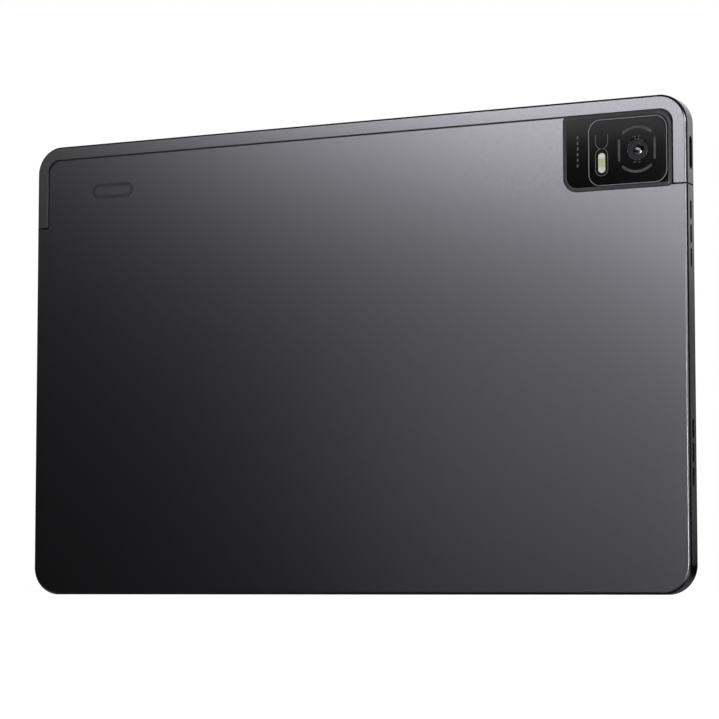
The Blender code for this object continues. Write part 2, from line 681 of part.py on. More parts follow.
def battery():
    for name, side in (("battery_cell_right", -1), ("battery_cell_left", 1)):
        x = sorted(side * value for value in CELL_X)
        prism(name, rectangle(x, CELL_Z, (CELL_RADIUS,) * 4, EDGE_STEPS), CELL_Y, "pouch_foil")
    block("battery_board", *BATTERY_BOARD, "board_green")
    block("battery_flex", *BATTERY_FLEX, "flex_amber")


def screws():
    for name, centre in SCREWS.items():
        screw = prism(name, circle(centre, SCREW_HEAD, SMALL_STEPS), SCREW_HEAD_Y, "steel")
        shank = prism("shank", circle(centre, SCREW_SHANK, SMALL_STEPS), SCREW_SHANK_Y, "steel")
        combine(screw, shank, "UNION")


def main():
    for old in list(bpy.data.objects):
        bpy.data.objects.remove(old, do_unlink=True)
    rear_cover()
    antenna_cover()
    camera_island()
    display()
    mid_frame()
    power_key()
    volume_rocker()
    speakers()
    charging_socket()
    card_tray()
    boards()
    battery()
    screws()


main()
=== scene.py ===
# %% [markdown]
# # An eleven-inch tablet computer, seen from behind
#
# This lesson dresses a finished assembly. The solids of the tablet already exist as a fixed frame, each
# piece in its place, and here each visible piece gets its fine shape and its finish. Everything inside the
# casing keeps its solid and gets a material of its own. Lengths are written in millimetres and multiplied
# by `MM` where Blender wants metres. X runs along the long side, Z is up, and the rear of the tablet looks
# to +Y.

import json
import math

import bmesh
import bpy
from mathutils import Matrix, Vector


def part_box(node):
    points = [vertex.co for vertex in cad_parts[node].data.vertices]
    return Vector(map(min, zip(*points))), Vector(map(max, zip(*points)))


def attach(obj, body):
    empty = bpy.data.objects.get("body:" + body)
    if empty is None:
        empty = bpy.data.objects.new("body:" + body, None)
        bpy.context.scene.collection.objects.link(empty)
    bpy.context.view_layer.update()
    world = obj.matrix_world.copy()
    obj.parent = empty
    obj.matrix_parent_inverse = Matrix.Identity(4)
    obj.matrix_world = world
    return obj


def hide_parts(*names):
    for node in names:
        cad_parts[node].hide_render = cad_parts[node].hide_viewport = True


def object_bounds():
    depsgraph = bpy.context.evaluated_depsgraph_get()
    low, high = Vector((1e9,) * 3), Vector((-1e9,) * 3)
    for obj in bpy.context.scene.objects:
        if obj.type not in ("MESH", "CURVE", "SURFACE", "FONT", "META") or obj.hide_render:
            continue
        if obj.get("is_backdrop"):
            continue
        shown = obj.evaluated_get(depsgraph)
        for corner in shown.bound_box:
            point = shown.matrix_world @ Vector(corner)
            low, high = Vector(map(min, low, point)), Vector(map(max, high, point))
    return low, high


MM = 0.001
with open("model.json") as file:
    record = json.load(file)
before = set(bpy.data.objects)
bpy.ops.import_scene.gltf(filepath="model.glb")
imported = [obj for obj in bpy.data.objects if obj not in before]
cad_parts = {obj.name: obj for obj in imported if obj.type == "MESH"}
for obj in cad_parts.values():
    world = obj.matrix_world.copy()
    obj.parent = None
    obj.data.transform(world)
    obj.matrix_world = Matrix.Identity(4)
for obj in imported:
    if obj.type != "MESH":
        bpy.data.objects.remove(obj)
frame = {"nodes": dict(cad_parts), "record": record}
cad_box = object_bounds()

# %% [markdown]
# ## The sizes that everything follows
#
# Places come from the frame: each solid tells its lowest and highest corner. What a box can't tell, such as
# a corner's radius or the thickness of a wall, is written down here once, as the maker's drawing would.


# %% Read the places from the frame
def corners(node):
    """A solid's lowest and highest corner in millimetres."""
    low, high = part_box(node)
    return low / MM, high / MM


shell_low, shell_high = corners("rear_cover")
_, band_high = corners("antenna_cover")
HALF_WIDTH = shell_high.x
TOP = band_high.z
RIM_FRONT = shell_low.y
REAR = shell_high.y
CASE_RADIUS = 10.0
WALL = 1.2
SKIN = 0.7
CHAMFER = 0.45
SEAM_SIDE = 5.0
SEAM_TOP = 5.2
SEAM_RADIUS = 5.0
SEAM_END = TOP - 30.6
SEAM_GAP = 0.55
FIT = 0.15
BEYOND = 20.0
print(f"casing {2 * HALF_WIDTH:.1f} by {TOP:.1f} mm, rear face at {REAR:.1f}")

# %% [markdown]
# ## The set: camera, floor and light
#
# A product photographer stands a slim tablet on its edge and looks along the table top, so its bottom edge
# stays a straight line. A long lens keeps the sides nearly parallel. The camera stands a little above the
# floor, off to the side of the camera island, and looks slightly up.

# %% Place the camera
CAMERA_PLACE = (-416.7, 827.0, 1.5)
CAMERA_HEADING = 153.54
CAMERA_RISE = 5.01
LENS_MM = 131.8

camera_data = bpy.data.cameras.new("camera")
camera_data.lens = LENS_MM
camera_data.clip_start = 1 * MM
camera = bpy.data.objects.new("camera", camera_data)
camera.location = Vector(CAMERA_PLACE) * MM
camera.rotation_euler = (math.radians(90 + CAMERA_RISE), 0, math.radians(-CAMERA_HEADING))
bpy.context.scene.collection.objects.link(camera)
bpy.context.scene.camera = camera
bpy.context.scene.view_settings.view_transform = "Standard"
print("camera at", tuple(round(value) for value in CAMERA_PLACE), "mm, lens", LENS_MM, "mm")

# %% [markdown]
# A few helpers carry all the finishes in this lesson. The first turns a colour as a painter picks it, an
# sRGB hex value, to the linear light that shaders work in. The second adds a shader node, sets it up and
# links it.


# %% Helpers for colours and nodes
def paint(shade):
    """An sRGB hex value as a linear colour."""
    channels = [int(shade[i : i + 2], 16) / 255 for i in (0, 2, 4)]
    return (*[c / 12.92 if c <= 0.04045 else ((c + 0.055) / 1.055) ** 2.4 for c in channels], 1.0)


def add_node(tree, kind, inputs=None, **settings):
    """Adds a shader node, sets its properties, and fills its inputs with values or other nodes' outputs."""
    made = tree.nodes.new("ShaderNode" + kind)
    for name, value in settings.items():
        setattr(made, name, value)
    for name, value in (inputs or {}).items():
        if isinstance(value, bpy.types.NodeSocket):
            tree.links.new(value, made.inputs[name])
        else:
            made.inputs[name].default_value = value
    return made


def shade_ramp(tree, factor, shades, stops=(0.0, 1.0)):
    """Turns a factor into a colour between two shades, and gives back the colour's socket."""
    ramp = add_node(tree, "ValToRGB", {"Fac": factor})
    for stop, position, shade in zip(ramp.color_ramp.elements, stops, shades):
        stop.position = position
        stop.color = paint(shade)
    return ramp.outputs["Color"]


def new_finish(name, shade, roughness, metallic=0.0, **inputs):
    """A material with its Principled shader set: returns the material, its node tree and the shader."""
    made = bpy.data.materials.new(name)
    made.use_nodes = True
    tree = made.node_tree
    shader = tree.nodes["Principled BSDF"]
    settings = {"Base Color": paint(shade), "Roughness": roughness, "Metallic": metallic, **inputs}
    for socket, value in settings.items():
        shader.inputs[socket].default_value = value
    return made, tree, shader


print("mid grey 808080 is", round(paint("808080")[0], 3), "in linear light")

# %% [markdown]
# The floor is a sheet of pale matt card. Real card is never one flat tone, so a very soft mottle runs
# through it. It is kept out of mirror reflections, the way a photographer hides the table's edge with black
# flags, so the metal only mirrors the lamps.

# %% Lay the floor
FLOOR_SIZE = 1.8
MOTTLE_MM = 180.0
card, tree, shader = new_finish("pale matt card", "f4f4f4", 0.9)
place = add_node(tree, "TexCoord")
mottle = add_node(tree, "TexNoise", {"Vector": place.outputs["Object"], "Scale": 1 / (MOTTLE_MM * MM)})
tree.links.new(shade_ramp(tree, mottle.outputs["Fac"], ("f1f1f1", "f7f7f7")), shader.inputs["Base Color"])

bpy.ops.mesh.primitive_plane_add(size=FLOOR_SIZE)
floor = bpy.context.active_object
floor.name = "floor"
floor.data.materials.append(card)
floor.visible_glossy = False
floor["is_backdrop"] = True
print("floor", FLOOR_SIZE, "m square")

# %% [markdown]
# The room is white to the eye and nearly black to the metal. What gives brushed or blasted metal its look
# is the dark it mirrors: one lamp near the mirror direction makes a long, smooth fall-off across the panel.
# A band of faint glow below the horizon stands for the lit table. Each pair gives a height, from -1
# straight down to 1 straight up, and the glow there.

# %% Paint the room
GLOW_BY_HEIGHT = ((-0.75, 0.006), (-0.55, 0.2), (-0.4, 0.2), (-0.2, 0.006))
world = bpy.data.worlds.new("studio room")
bpy.context.scene.world = world
world.use_nodes = True
tree = world.node_tree
tree.nodes.clear()
place = add_node(tree, "TexCoord")
apart = add_node(tree, "SeparateXYZ", {"Vector": place.outputs["Generated"]})
half = add_node(tree, "Math", {0: apart.outputs["Z"], 1: 0.5, 2: 0.5}, operation="MULTIPLY_ADD")
glow = add_node(tree, "ValToRGB", {"Fac": half.outputs["Value"]})
for _ in GLOW_BY_HEIGHT[2:]:
    glow.color_ramp.elements.new(0.5)
for stop, (height, light) in zip(glow.color_ramp.elements, GLOW_BY_HEIGHT):
    stop.position = (height + 1) / 2
    stop.color = (light, light, light, 1.0)
dim = add_node(tree, "Background", {"Color": glow.outputs["Color"]})
white = add_node(tree, "Background", {"Color": paint("ffffff"), "Strength": 1.0})
ray = add_node(tree, "LightPath")
room = add_node(tree, "MixShader", {"Fac": ray.outputs["Is Camera Ray"]})
tree.links.new(dim.outputs["Background"], room.inputs[1])
tree.links.new(white.outputs["Background"], room.inputs[2])
add_node(tree, "OutputWorld", {"Surface": room.outputs["Shader"]})
print("room painted")

# %% [markdown]
# Each lamp is a softbox: a square that glows evenly, hung on a direction and a distance from the middle of
# the tablet and facing it. The six key lamps and one small one form a loose bank round the mirror direction
# of the panel. Together they make the long fall-off from the bright upper corner to the dark lower one. Two
# lamps draw the side wall, two more the chamfer, and one the rounded corner. A broad one overhead lights
# the floor, and like the floor it is kept out of mirror reflections.

# %% Hang the softboxes
AIM = Vector((0, 0, TOP / 2)) * MM
KEY_DISTANCE, KEY_SIZE = 1.5, 0.3
KEY_LAMPS = (
    (9, 14, 1.47),
    (24, 19, 0.88),
    (30, 19, 0.47),
    (-2, -1, 6.5),
    (19, -1, 0.07),
    (22, 5, 0.06),
)
OTHER_LAMPS = {
    "small key softbox": (19, 16.6, 1.5, 0.2, 0.75),
    "side softbox high": (-153, 18, 1.4, 0.5, 0.55),
    "side softbox low": (-153, 8, 1.4, 0.5, 0.18),
    "chamfer softbox high": (-63, 18, 1.4, 0.5, 1.5),
    "chamfer softbox low": (-63, 8, 1.4, 0.5, 0.2),
    "front softbox": (180, 26, 1.6, 0.8, 2.0),
}
OVERHEAD_LAMP = (0, 89, 1.8, 3.0, 80.0)


def hang_softbox(name, heading, rise, distance, size, watts):
    """Heading turns from +Y towards +X, and rise is the angle above the floor, both in degrees."""
    heading, rise = math.radians(heading), math.radians(rise)
    way = Vector((math.sin(heading) * math.cos(rise), math.cos(heading) * math.cos(rise), math.sin(rise)))
    data = bpy.data.lights.new(name, "AREA")
    data.size = size
    data.energy = watts
    lamp = bpy.data.objects.new(name, data)
    lamp.location = AIM + way * distance
    lamp.rotation_euler = way.to_track_quat("Z", "Y").to_euler()
    bpy.context.scene.collection.objects.link(lamp)
    return lamp


for number, (heading, rise, watts) in enumerate(KEY_LAMPS, 1):
    hang_softbox(f"key softbox {number}", heading, rise, KEY_DISTANCE, KEY_SIZE, watts)
for name, settings in OTHER_LAMPS.items():
    hang_softbox(name, *settings)
overhead = hang_softbox("overhead softbox", *OVERHEAD_LAMP)
overhead.visible_glossy = False
print("lamps:", len(KEY_LAMPS) + len(OTHER_LAMPS) + 1)

# %% [markdown]
# ## Tools of the workshop
#
# Every new piece starts as a primitive at its size and place, and is then shaped in edit mode. These short
# helpers do what a hand does in Blender: add a block or a disc, pick edges by where they are, bevel them,
# cut one shape with another, and ease the last sharp edges.


# %% Helpers for shaping
SQUARE_ON = 0.99
NEAR = 0.01
SMOOTH_BELOW = math.radians(40)
EASE_ABOVE = math.radians(35)


def take(piece):
    """Makes this piece the only one selected."""
    for other in bpy.context.selected_objects:
        other.select_set(False)
    piece.select_set(True)
    bpy.context.view_layer.objects.active = piece


def settle(name):
    """Names the primitive just added and moves its place and size into its mesh."""
    piece = bpy.context.active_object
    piece.name = name
    take(piece)
    bpy.ops.object.transform_apply(location=True, rotation=True, scale=True)
    return piece


def add_block(name, x, y, z):
    """A box whose sides lie at these pairs of places, in millimetres."""
    middle = [sum(pair) / 2 * MM for pair in (x, y, z)]
    size = [abs(pair[1] - pair[0]) * MM for pair in (x, y, z)]
    bpy.ops.mesh.primitive_cube_add(size=1, location=middle, scale=size)
    return settle(name)


def add_disc(name, middle, radius, y, sides=96):
    """A round disc that faces the rear, about a middle given by x and z."""
    place = Vector((middle[0], (y[0] + y[1]) / 2, middle[1])) * MM
    depth = (y[1] - y[0]) * MM
    bpy.ops.mesh.primitive_cylinder_add(
        vertices=sides, radius=radius * MM, depth=depth, location=place, rotation=(math.pi / 2, 0, 0)
    )
    return settle(name)


def bevel_where(piece, wanted, width, segments=1):
    """Bevels the edges whose two ends, in millimetres, pass the test."""
    take(piece)
    bpy.ops.object.mode_set(mode="EDIT")
    bpy.ops.mesh.select_mode(type="EDGE")
    bpy.ops.mesh.select_all(action="DESELECT")
    shape = bmesh.from_edit_mesh(piece.data)
    for edge in shape.edges:
        first, second = (vertex.co / MM for vertex in edge.verts)
        edge.select_set(wanted(first, second))
    bmesh.update_edit_mesh(piece.data)
    bpy.ops.mesh.bevel(offset=width * MM, segments=segments, affect="EDGES")
    bpy.ops.object.mode_set(mode="OBJECT")


def round_along(piece, axis, radius, segments=24, where=lambda middle: True):
    """Rounds the edges that run along an axis, 0 for X, 1 for Y and 2 for Z."""
    others = [i for i in range(3) if i != axis]

    def runs_along(a, b):
        return all(abs(a[i] - b[i]) < 0.001 for i in others) and where((a + b) / 2)

    bevel_where(piece, runs_along, radius, segments)


def select_faces(piece, wanted):
    """Enters edit mode with just the faces selected whose middle and normal pass the test."""
    take(piece)
    bpy.ops.object.mode_set(mode="EDIT")
    bpy.ops.mesh.select_mode(type="FACE")
    bpy.ops.mesh.select_all(action="DESELECT")
    shape = bmesh.from_edit_mesh(piece.data)
    for face in shape.faces:
        face.select_set(wanted(face.calc_center_median() / MM, face.normal))
    bmesh.update_edit_mesh(piece.data)


def faces_rear(middle, normal):
    """True on faces that look straight to the rear."""
    return normal.y > SQUARE_ON


def faces_front(middle, normal):
    """True on faces that look straight to the front."""
    return normal.y < -SQUARE_ON


def step_faces(piece, wanted, steps):
    """Insets faces again and again. Each step gives its width and how far it pushes the faces out."""
    select_faces(piece, wanted)
    for width, rise in steps:
        bpy.ops.mesh.inset(thickness=width * MM, depth=rise * MM)
    bpy.ops.object.mode_set(mode="OBJECT")


def combine(piece, tool, operation="DIFFERENCE"):
    """Cuts, joins or keeps the overlap of two shapes, and throws the tool away."""
    take(piece)
    modifier = piece.modifiers.new("combine", "BOOLEAN")
    modifier.object = tool
    modifier.operation = operation
    bpy.ops.object.modifier_apply(modifier=modifier.name)
    bpy.data.objects.remove(tool, do_unlink=True)


def ease(piece, width, segments=2):
    """Breaks the sharp edges by a hair's breadth, and shades the flats flat and the rounds round."""
    take(piece)
    bevel = piece.modifiers.new("ease", "BEVEL")
    bevel.width = width * MM
    bevel.segments = segments
    bevel.limit_method = "ANGLE"
    bevel.angle_limit = EASE_ABOVE
    bevel.use_clamp_overlap = False
    bpy.ops.object.modifier_apply(modifier=bevel.name)
    bpy.ops.object.shade_smooth_by_angle(angle=SMOOTH_BELOW)
    weigh = piece.modifiers.new("weigh", "WEIGHTED_NORMAL")
    weigh.keep_sharp = True
    bpy.ops.object.modifier_apply(modifier=weigh.name)


def coat(piece, finish, width, segments=2):
    """Gives a piece its finish and eases its edges."""
    piece.data.materials.append(finish)
    ease(piece, width, segments)


def middle_across(axis, low, high):
    """The middle between two corners, without the place along this axis."""
    return tuple((low[i] + high[i]) / 2 for i in range(3) if i != axis)


def copy_of(piece, name):
    """A copy with a mesh of its own."""
    take(piece)
    bpy.ops.object.duplicate()
    made = bpy.context.active_object
    made.name = name
    return made


def stand_for(piece, body, slot, *nodes):
    """Puts a finished piece on its body, in place of plain solids. The slot argument is not used."""
    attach(piece, body)
    if nodes:
        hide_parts(*nodes)
    print(f"{piece.name}: {len(piece.data.polygons)} faces")


print("helpers ready")

# %% [markdown]
# ## The metal casing
#
# The real casing is milled or pressed from aluminium sheet: a shallow tray with flat side walls, ten
# millimetre corners, and a fine bright chamfer cut round the rear edge after anodising. A block with
# bevelled corners, a few stepped insets and one extrusion give the same tray, with the chamfer as one of
# the steps.


# %% Shape the tray
SHOULDER = ((0.04, 0.45), (0.07, 0.3), (0.12, 0.25), (0.38, 0.38), (0.12, 0.05), (0.2, 0.02))
FRONT_BEVEL = 0.2


def build_tray():
    """The whole casing before it is divided: shoulder steps at the rear, and a hollow from the front."""
    shoulder_rise = sum(rise for _, rise in SHOULDER)
    tray = add_block("tray", (-HALF_WIDTH, HALF_WIDTH), (RIM_FRONT, REAR - shoulder_rise), (0, TOP))
    round_along(tray, 1, CASE_RADIUS)
    step_faces(tray, faces_rear, SHOULDER)
    bevel_where(tray, lambda a, b: max(a.y, b.y) < RIM_FRONT + NEAR, FRONT_BEVEL)
    select_faces(tray, faces_front)
    bpy.ops.mesh.inset(thickness=(WALL - FRONT_BEVEL) * MM)
    hollow = (REAR - SKIN - RIM_FRONT) * MM
    bpy.ops.mesh.extrude_region_move(TRANSFORM_OT_translate={"value": (0, hollow, 0)})
    bpy.ops.object.mode_set(mode="OBJECT")
    return tray


tray = build_tray()
print("tray:", len(tray.data.polygons), "faces")

# %% [markdown]
# Radio waves don't pass metal, so the top of the tray, and both upper corners down to the camera's lower
# edge, are a plastic cover. The two parts meet in a thin seam. One tool shape, the metal part's area,
# divides the tray: the metal keeps what overlaps it, and the plastic keeps the rest.


# %% Divide the tray along the seam
def metal_area(grow):
    """The area inside the seam, made larger on every side by this much."""
    side = HALF_WIDTH - SEAM_SIDE + grow
    area = add_block("area", (-side, side), (-BEYOND, BEYOND), (-BEYOND, TOP - SEAM_TOP + grow))
    round_along(area, 1, SEAM_RADIUS - grow, where=lambda middle: middle.z > 0)
    wide = (-HALF_WIDTH - BEYOND, HALF_WIDTH + BEYOND)
    lower = add_block("lower", wide, (-BEYOND - 1, BEYOND + 1), (-BEYOND - 1, SEAM_END + grow))
    combine(area, lower, "UNION")
    return area


rear_panel = copy_of(tray, "rear_panel")
combine(rear_panel, metal_area(-SEAM_GAP / 2), "INTERSECT")
antenna_strip = tray
antenna_strip.name = "antenna_strip"
combine(antenna_strip, metal_area(SEAM_GAP / 2))
print("metal", len(rear_panel.data.polygons), "faces, plastic", len(antenna_strip.data.polygons), "faces")

# %% [markdown]
# Behind the seam the plastic has a lip that reaches under the metal, so no light comes through and the seam
# reads as a fine dark line. It is an arch: one rounded slab with a smaller one cut out. At both ends a
# gasket fills the seam's mouth in the side wall, and a stop behind it holds the two parts in line.

# %% Add the lip under the seam
LIP_Y = (2.1, 2.7)
LIP_OUT = 3.6
LIP_IN = 1.2


def slab(grow, y, low):
    """The seam's outline as a slab, made larger by this much, from this height up."""
    side = HALF_WIDTH - SEAM_SIDE + grow
    made = add_block("slab", (-side, side), y, (low, TOP - SEAM_TOP + grow))
    round_along(made, 1, SEAM_RADIUS + grow, where=lambda middle: middle.z > TOP / 2)
    return made


lip = slab(LIP_OUT, LIP_Y, SEAM_END - LIP_IN)
combine(lip, slab(-LIP_IN, (LIP_Y[0] - 1, LIP_Y[1] + 1), 0))
SEAM_FILL = SEAM_GAP / 2 - 0.01
GASKET_OUT, STOP_OUT, STOP_IN = 0.08, 1.3, 2.0
gasket_y, gasket_z = (RIM_FRONT + 0.1, REAR - 0.5), (SEAM_END - SEAM_FILL, SEAM_END + SEAM_FILL)
stop_y, stop_z = (-2.6, LIP_Y[0] + 0.1), (SEAM_END - LIP_IN, SEAM_END + 2.4)
for side in (-1, 1):
    x = (side * (HALF_WIDTH - GASKET_OUT), side * (HALF_WIDTH - STOP_IN))
    combine(lip, add_block("gasket", x, gasket_y, gasket_z), "UNION")
    x = (side * (HALF_WIDTH - STOP_OUT), side * (HALF_WIDTH - STOP_IN))
    combine(lip, add_block("stop", x, stop_y, stop_z), "UNION")
print("lip:", len(lip.data.polygons), "faces")

# %% [markdown]
# Then come the holes. Each is a block with rounded ends, pushed through a wall: the island's window in the
# metal, three sound slots for each speaker, the charging socket, the card tray's mouth, the keys, and a
# small round one for the microphone.


# %% Cut the holes
ROUND_END = 0.4995


def long_hole(axis, middle, size, reach, name="hole"):
    """A bar with round ends: a middle and a size across an axis, and how far it reaches along it."""
    spans = [(c - s / 2, c + s / 2) for c, s in zip(middle, size)]
    spans.insert(axis, reach)
    hole = add_block(name, *spans)
    round_along(hole, axis, ROUND_END * min(size), 12)
    return hole


island_low, island_high = corners("camera_plate")
ISLAND_BIG, ISLAND_SMALL, LEAST_RADIUS = 5.0, 1.4, 0.3


def island_block(name, y, grow=0.0):
    """The island's outline: big radii at two opposite corners, small ones at the others."""
    x = (island_low.x - grow, island_high.x + grow)
    block = add_block(name, x, y, (island_low.z - grow, island_high.z + grow))
    middle_x, middle_z = sum(x) / 2, (island_low.z + island_high.z) / 2
    for big, radius in ((True, ISLAND_BIG), (False, ISLAND_SMALL)):
        for upper in (True, False):
            right = upper if big else not upper
            side = (lambda m, u=upper, r=right: (m.z > middle_z) == u and (m.x < middle_x) == r)
            round_along(block, 1, max(radius + grow, LEAST_RADIUS), 16, side)
    return block


through = (-BEYOND, BEYOND)
for piece in (rear_panel, antenna_strip, lip):
    combine(piece, island_block("hole", through, FIT))
WALL_IN, WALL_OUT = 2, 1
left_wall = (HALF_WIDTH - WALL_IN, HALF_WIDTH + WALL_OUT)
right_wall = (-HALF_WIDTH - WALL_OUT, WALL_IN - HALF_WIDTH)
top_wall = (TOP - WALL_IN, TOP + WALL_OUT)
SLOT_MM = (1.5, 6.3)
SLOT_PITCH = 8.0
SLOT_MIDDLE_Y = -0.15
for level in ("lower", "upper"):
    low, high = corners(f"speaker_mesh_{level}_left")
    for step in (-1, 0, 1):
        middle = (SLOT_MIDDLE_Y, (low.z + high.z) / 2 + step * SLOT_PITCH)
        for reach in (left_wall, right_wall):
            combine(rear_panel, long_hole(0, middle, SLOT_MM, reach))
socket_low, socket_high = corners("usb_c_shell")
SOCKET_HOLE = (3.4, 9.2)
socket_middle = middle_across(0, socket_low, socket_high)
combine(rear_panel, long_hole(0, socket_middle, SOCKET_HOLE, left_wall))
card_low, card_high = corners("card_tray")
card_middle = middle_across(0, card_low, card_high)
CARD_HEAD = (card_high.y - card_low.y, card_high.z - card_low.z)
combine(rear_panel, long_hole(0, card_middle, [size + 2 * FIT for size in CARD_HEAD], left_wall))
POWER_SLOT = (2.7, 11.1)
power_low, power_high = corners("power_button")
power_middle = middle_across(0, power_low, power_high)
combine(antenna_strip, long_hole(0, power_middle, POWER_SLOT, right_wall))
VOLUME_SLOT = (21.1, 2.0)
volume_low, volume_high = corners("volume_key")
volume_middle = middle_across(2, volume_low, volume_high)
combine(antenna_strip, long_hole(2, volume_middle, VOLUME_SLOT, top_wall))
MICROPHONE_X, MICROPHONE_SIZE = -11.25, (1.0, 1.0)
combine(antenna_strip, long_hole(2, (MICROPHONE_X, 0), MICROPHONE_SIZE, top_wall))
print("holes cut:", len(rear_panel.data.polygons), "and", len(antenna_strip.data.polygons), "faces")

# %% [markdown]
# ## The finishes
#
# Each finish starts from the real material. Two helpers break up what would look like plain plastic: one
# lets a colour wander between two close shades, and the other lets the gloss vary and raises a fine grain.
# Their sizes are real millimetres, on Object coordinates, so the grain stays put on the part.


# %% Helpers for grain and mottle
def object_place(tree):
    """The place on the piece, in the piece's own coordinates."""
    return add_node(tree, "TexCoord").outputs["Object"]


MOTTLE_STOPS = (0.35, 0.65)


def mottle_colour(tree, shader, shades, size_mm):
    """Lets the colour wander between two shades over patches of this size."""
    noise = add_node(
        tree, "TexNoise", {"Vector": object_place(tree), "Scale": 1 / (size_mm * MM), "Detail": 2.0}
    )
    tree.links.new(shade_ramp(tree, noise.outputs["Fac"], shades, MOTTLE_STOPS), shader.inputs["Base Color"])


def grain(tree, shader, size_mm, gloss, height_mm, stretch=(1, 1, 1)):
    """Lets the roughness vary between two values with a grain of this size, and raises it this high."""
    spread = add_node(tree, "Mapping", {"Vector": object_place(tree), "Scale": stretch})
    scale = 1 / (size_mm * MM)
    noise = add_node(tree, "TexNoise", {"Vector": spread.outputs["Vector"], "Scale": scale, "Detail": 3.0})
    vary = add_node(
        tree, "MapRange", {"Value": noise.outputs["Fac"], "To Min": gloss[0], "To Max": gloss[1]}
    )
    tree.links.new(vary.outputs["Result"], shader.inputs["Roughness"])
    bump = add_node(tree, "Bump", {"Height": noise.outputs["Fac"], "Distance": height_mm * MM})
    tree.links.new(bump.outputs["Normal"], shader.inputs["Normal"])


def grained_finish(name, metallic, mottle, surface, specular=None):
    """A finish with a wandering colour and a grain: mottle and surface go to the two helpers above."""
    made, tree, shader = new_finish(name, mottle[0][0], surface[1][0], metallic)
    mottle_colour(tree, shader, *mottle)
    grain(tree, shader, *surface)
    if specular is not None:
        shader.inputs["Specular IOR Level"].default_value = specular
    return made


print("grain helpers ready")

# %% [markdown]
# The panel is 6000-series aluminium, blasted with fine glass beads and anodised dark grey. The blasting
# gives a silky, evenly rough metal with no direction, and the dye sits in the oxide, so the metal itself is
# grey. The beads leave dents of some 0.05 mm; they are drawn at 0.3 mm so that they show as the faintest
# grain.

# %% Finish: blasted anodised aluminium
blasted_aluminium = grained_finish(
    "blasted anodised aluminium", 1.0, (("646368", "68676c"), 1.2), (0.3, (0.2, 0.24), 0.0006)
)

# %% [markdown]
# The arch over the aerials is glass-filled plastic, sprayed with a metallic paint to match. Flakes of
# aluminium lie in the paint at many angles, so it looks a little lighter and softer than the real metal.

# %% Finish: metallic paint on plastic
flake_paint, tree, shader = new_finish("metallic paint on plastic", "68676c", 0.22, 0.95)
flakes = add_node(
    tree, "TexVoronoi", {"Vector": object_place(tree), "Scale": 1 / (0.25 * MM)}, feature="F1"
)
tree.links.new(shade_ramp(tree, flakes.outputs["Color"], ("656469", "6c6b70")), shader.inputs["Base Color"])
grain(tree, shader, 0.4, (0.20, 0.25), 0.0005)

# %% [markdown]
# The chamfer round the rear edge is cut with a diamond tool after anodising, so it is nearly bare metal,
# with tool lines too fine to see that stretch its glints along the edge.

# %% Finish: diamond-cut chamfer
cut_edge = grained_finish(
    "diamond-cut aluminium", 1.0, (("bcbcc0", "cacace"), 3.0), (0.08, (0.18, 0.26), 0.0005, (0.2, 1, 0.2))
)

# %% [markdown]
# The camera island has three dark finishes: a satin metal rim, near-black glass, and grey ink printed under
# the glass. Glass keeps a smooth, mirror-like face; only faint smears break its gloss.

# %% Finishes: island rim, black glass, printed ink
satin_rim = grained_finish(
    "satin dark metal", 0.5, (("404044", "46464a"), 0.8), (0.2, (0.38, 0.46), 0.0008)
)

black_glass, tree, shader = new_finish("black camera glass", "040405", 0.08, IOR=1.52)
shader.inputs["Specular IOR Level"].default_value = 0.09
mottle_colour(tree, shader, ("030304", "060607"), 6.0)
grain(tree, shader, 9.0, (0.06, 0.1), 0.0)

satin_trim = grained_finish(
    "satin grey trim", 1.0, (("515156", "59595e"), 0.8), (0.2, (0.26, 0.34), 0.0008)
)

printed_ink = grained_finish(
    "grey ink under glass", 0.0, (("2c2c2e", "3c3c3e"), 1.5), (0.3, (0.2, 0.32), 0.0005), 0.12
)
line_ink = grained_finish(
    "light grey ink under glass", 0.0, (("464648", "525254"), 1.5), (0.3, (0.2, 0.32), 0.0005), 0.12
)

faint_ink = grained_finish("faint grey ink", 0.0, (("262628", "2e2e31"), 0.7), (0.3, (0.25, 0.35), 0.0005))

dark_ink = grained_finish(
    "laser-darkened oxide", 0.0, (("111113", "161618"), 0.6), (0.15, (0.38, 0.48), 0.001)
)

# %% [markdown]
# A camera lens is glass with a thin film that kills reflections. The film passes green and yellow, so what
# is left over looks blue or violet at its edge; here that blue reflection is painted into the front
# element's colour, lighter and bluer where its surface turns away from the camera. Inside are matt black
# rings that swallow stray light.

# %% Finishes: lens glass, coated element, barrel
lens_glass, tree, shader = new_finish("coated lens glass", "ffffff", 0.0, IOR=1.5)
shader.inputs["Transmission Weight"].default_value = 1.0
shader.inputs["Specular IOR Level"].default_value = 0.08
mottle_colour(tree, shader, ("f4f8ff", "ffffff"), 4.0)

coated_element, tree, shader = new_finish("blue-coated front element", "05070c", 0.03, IOR=1.8)
shader.inputs["Coat Weight"].default_value = 0.4
shader.inputs["Coat Tint"].default_value = paint("8fb4d8")
# Painted reflection: the colour turns lighter and bluer where the surface turns away from the camera.
edge = add_node(tree, "LayerWeight", {"Blend": 0.35})
tree.links.new(shade_ramp(tree, edge.outputs["Facing"], ("04060a", "26465e")), shader.inputs["Base Color"])

matt_barrel = grained_finish(
    "matt black barrel paint", 0.0, (("0c0c0e", "151517"), 0.5), (0.1, (0.45, 0.65), 0.002)
)

# %% [markdown]
# The flash is a milky acrylic window over two light-emitting chips. The chips lie under yellow phosphor,
# which shows through as a yellow-green glow in the middle, and the ends stay white.

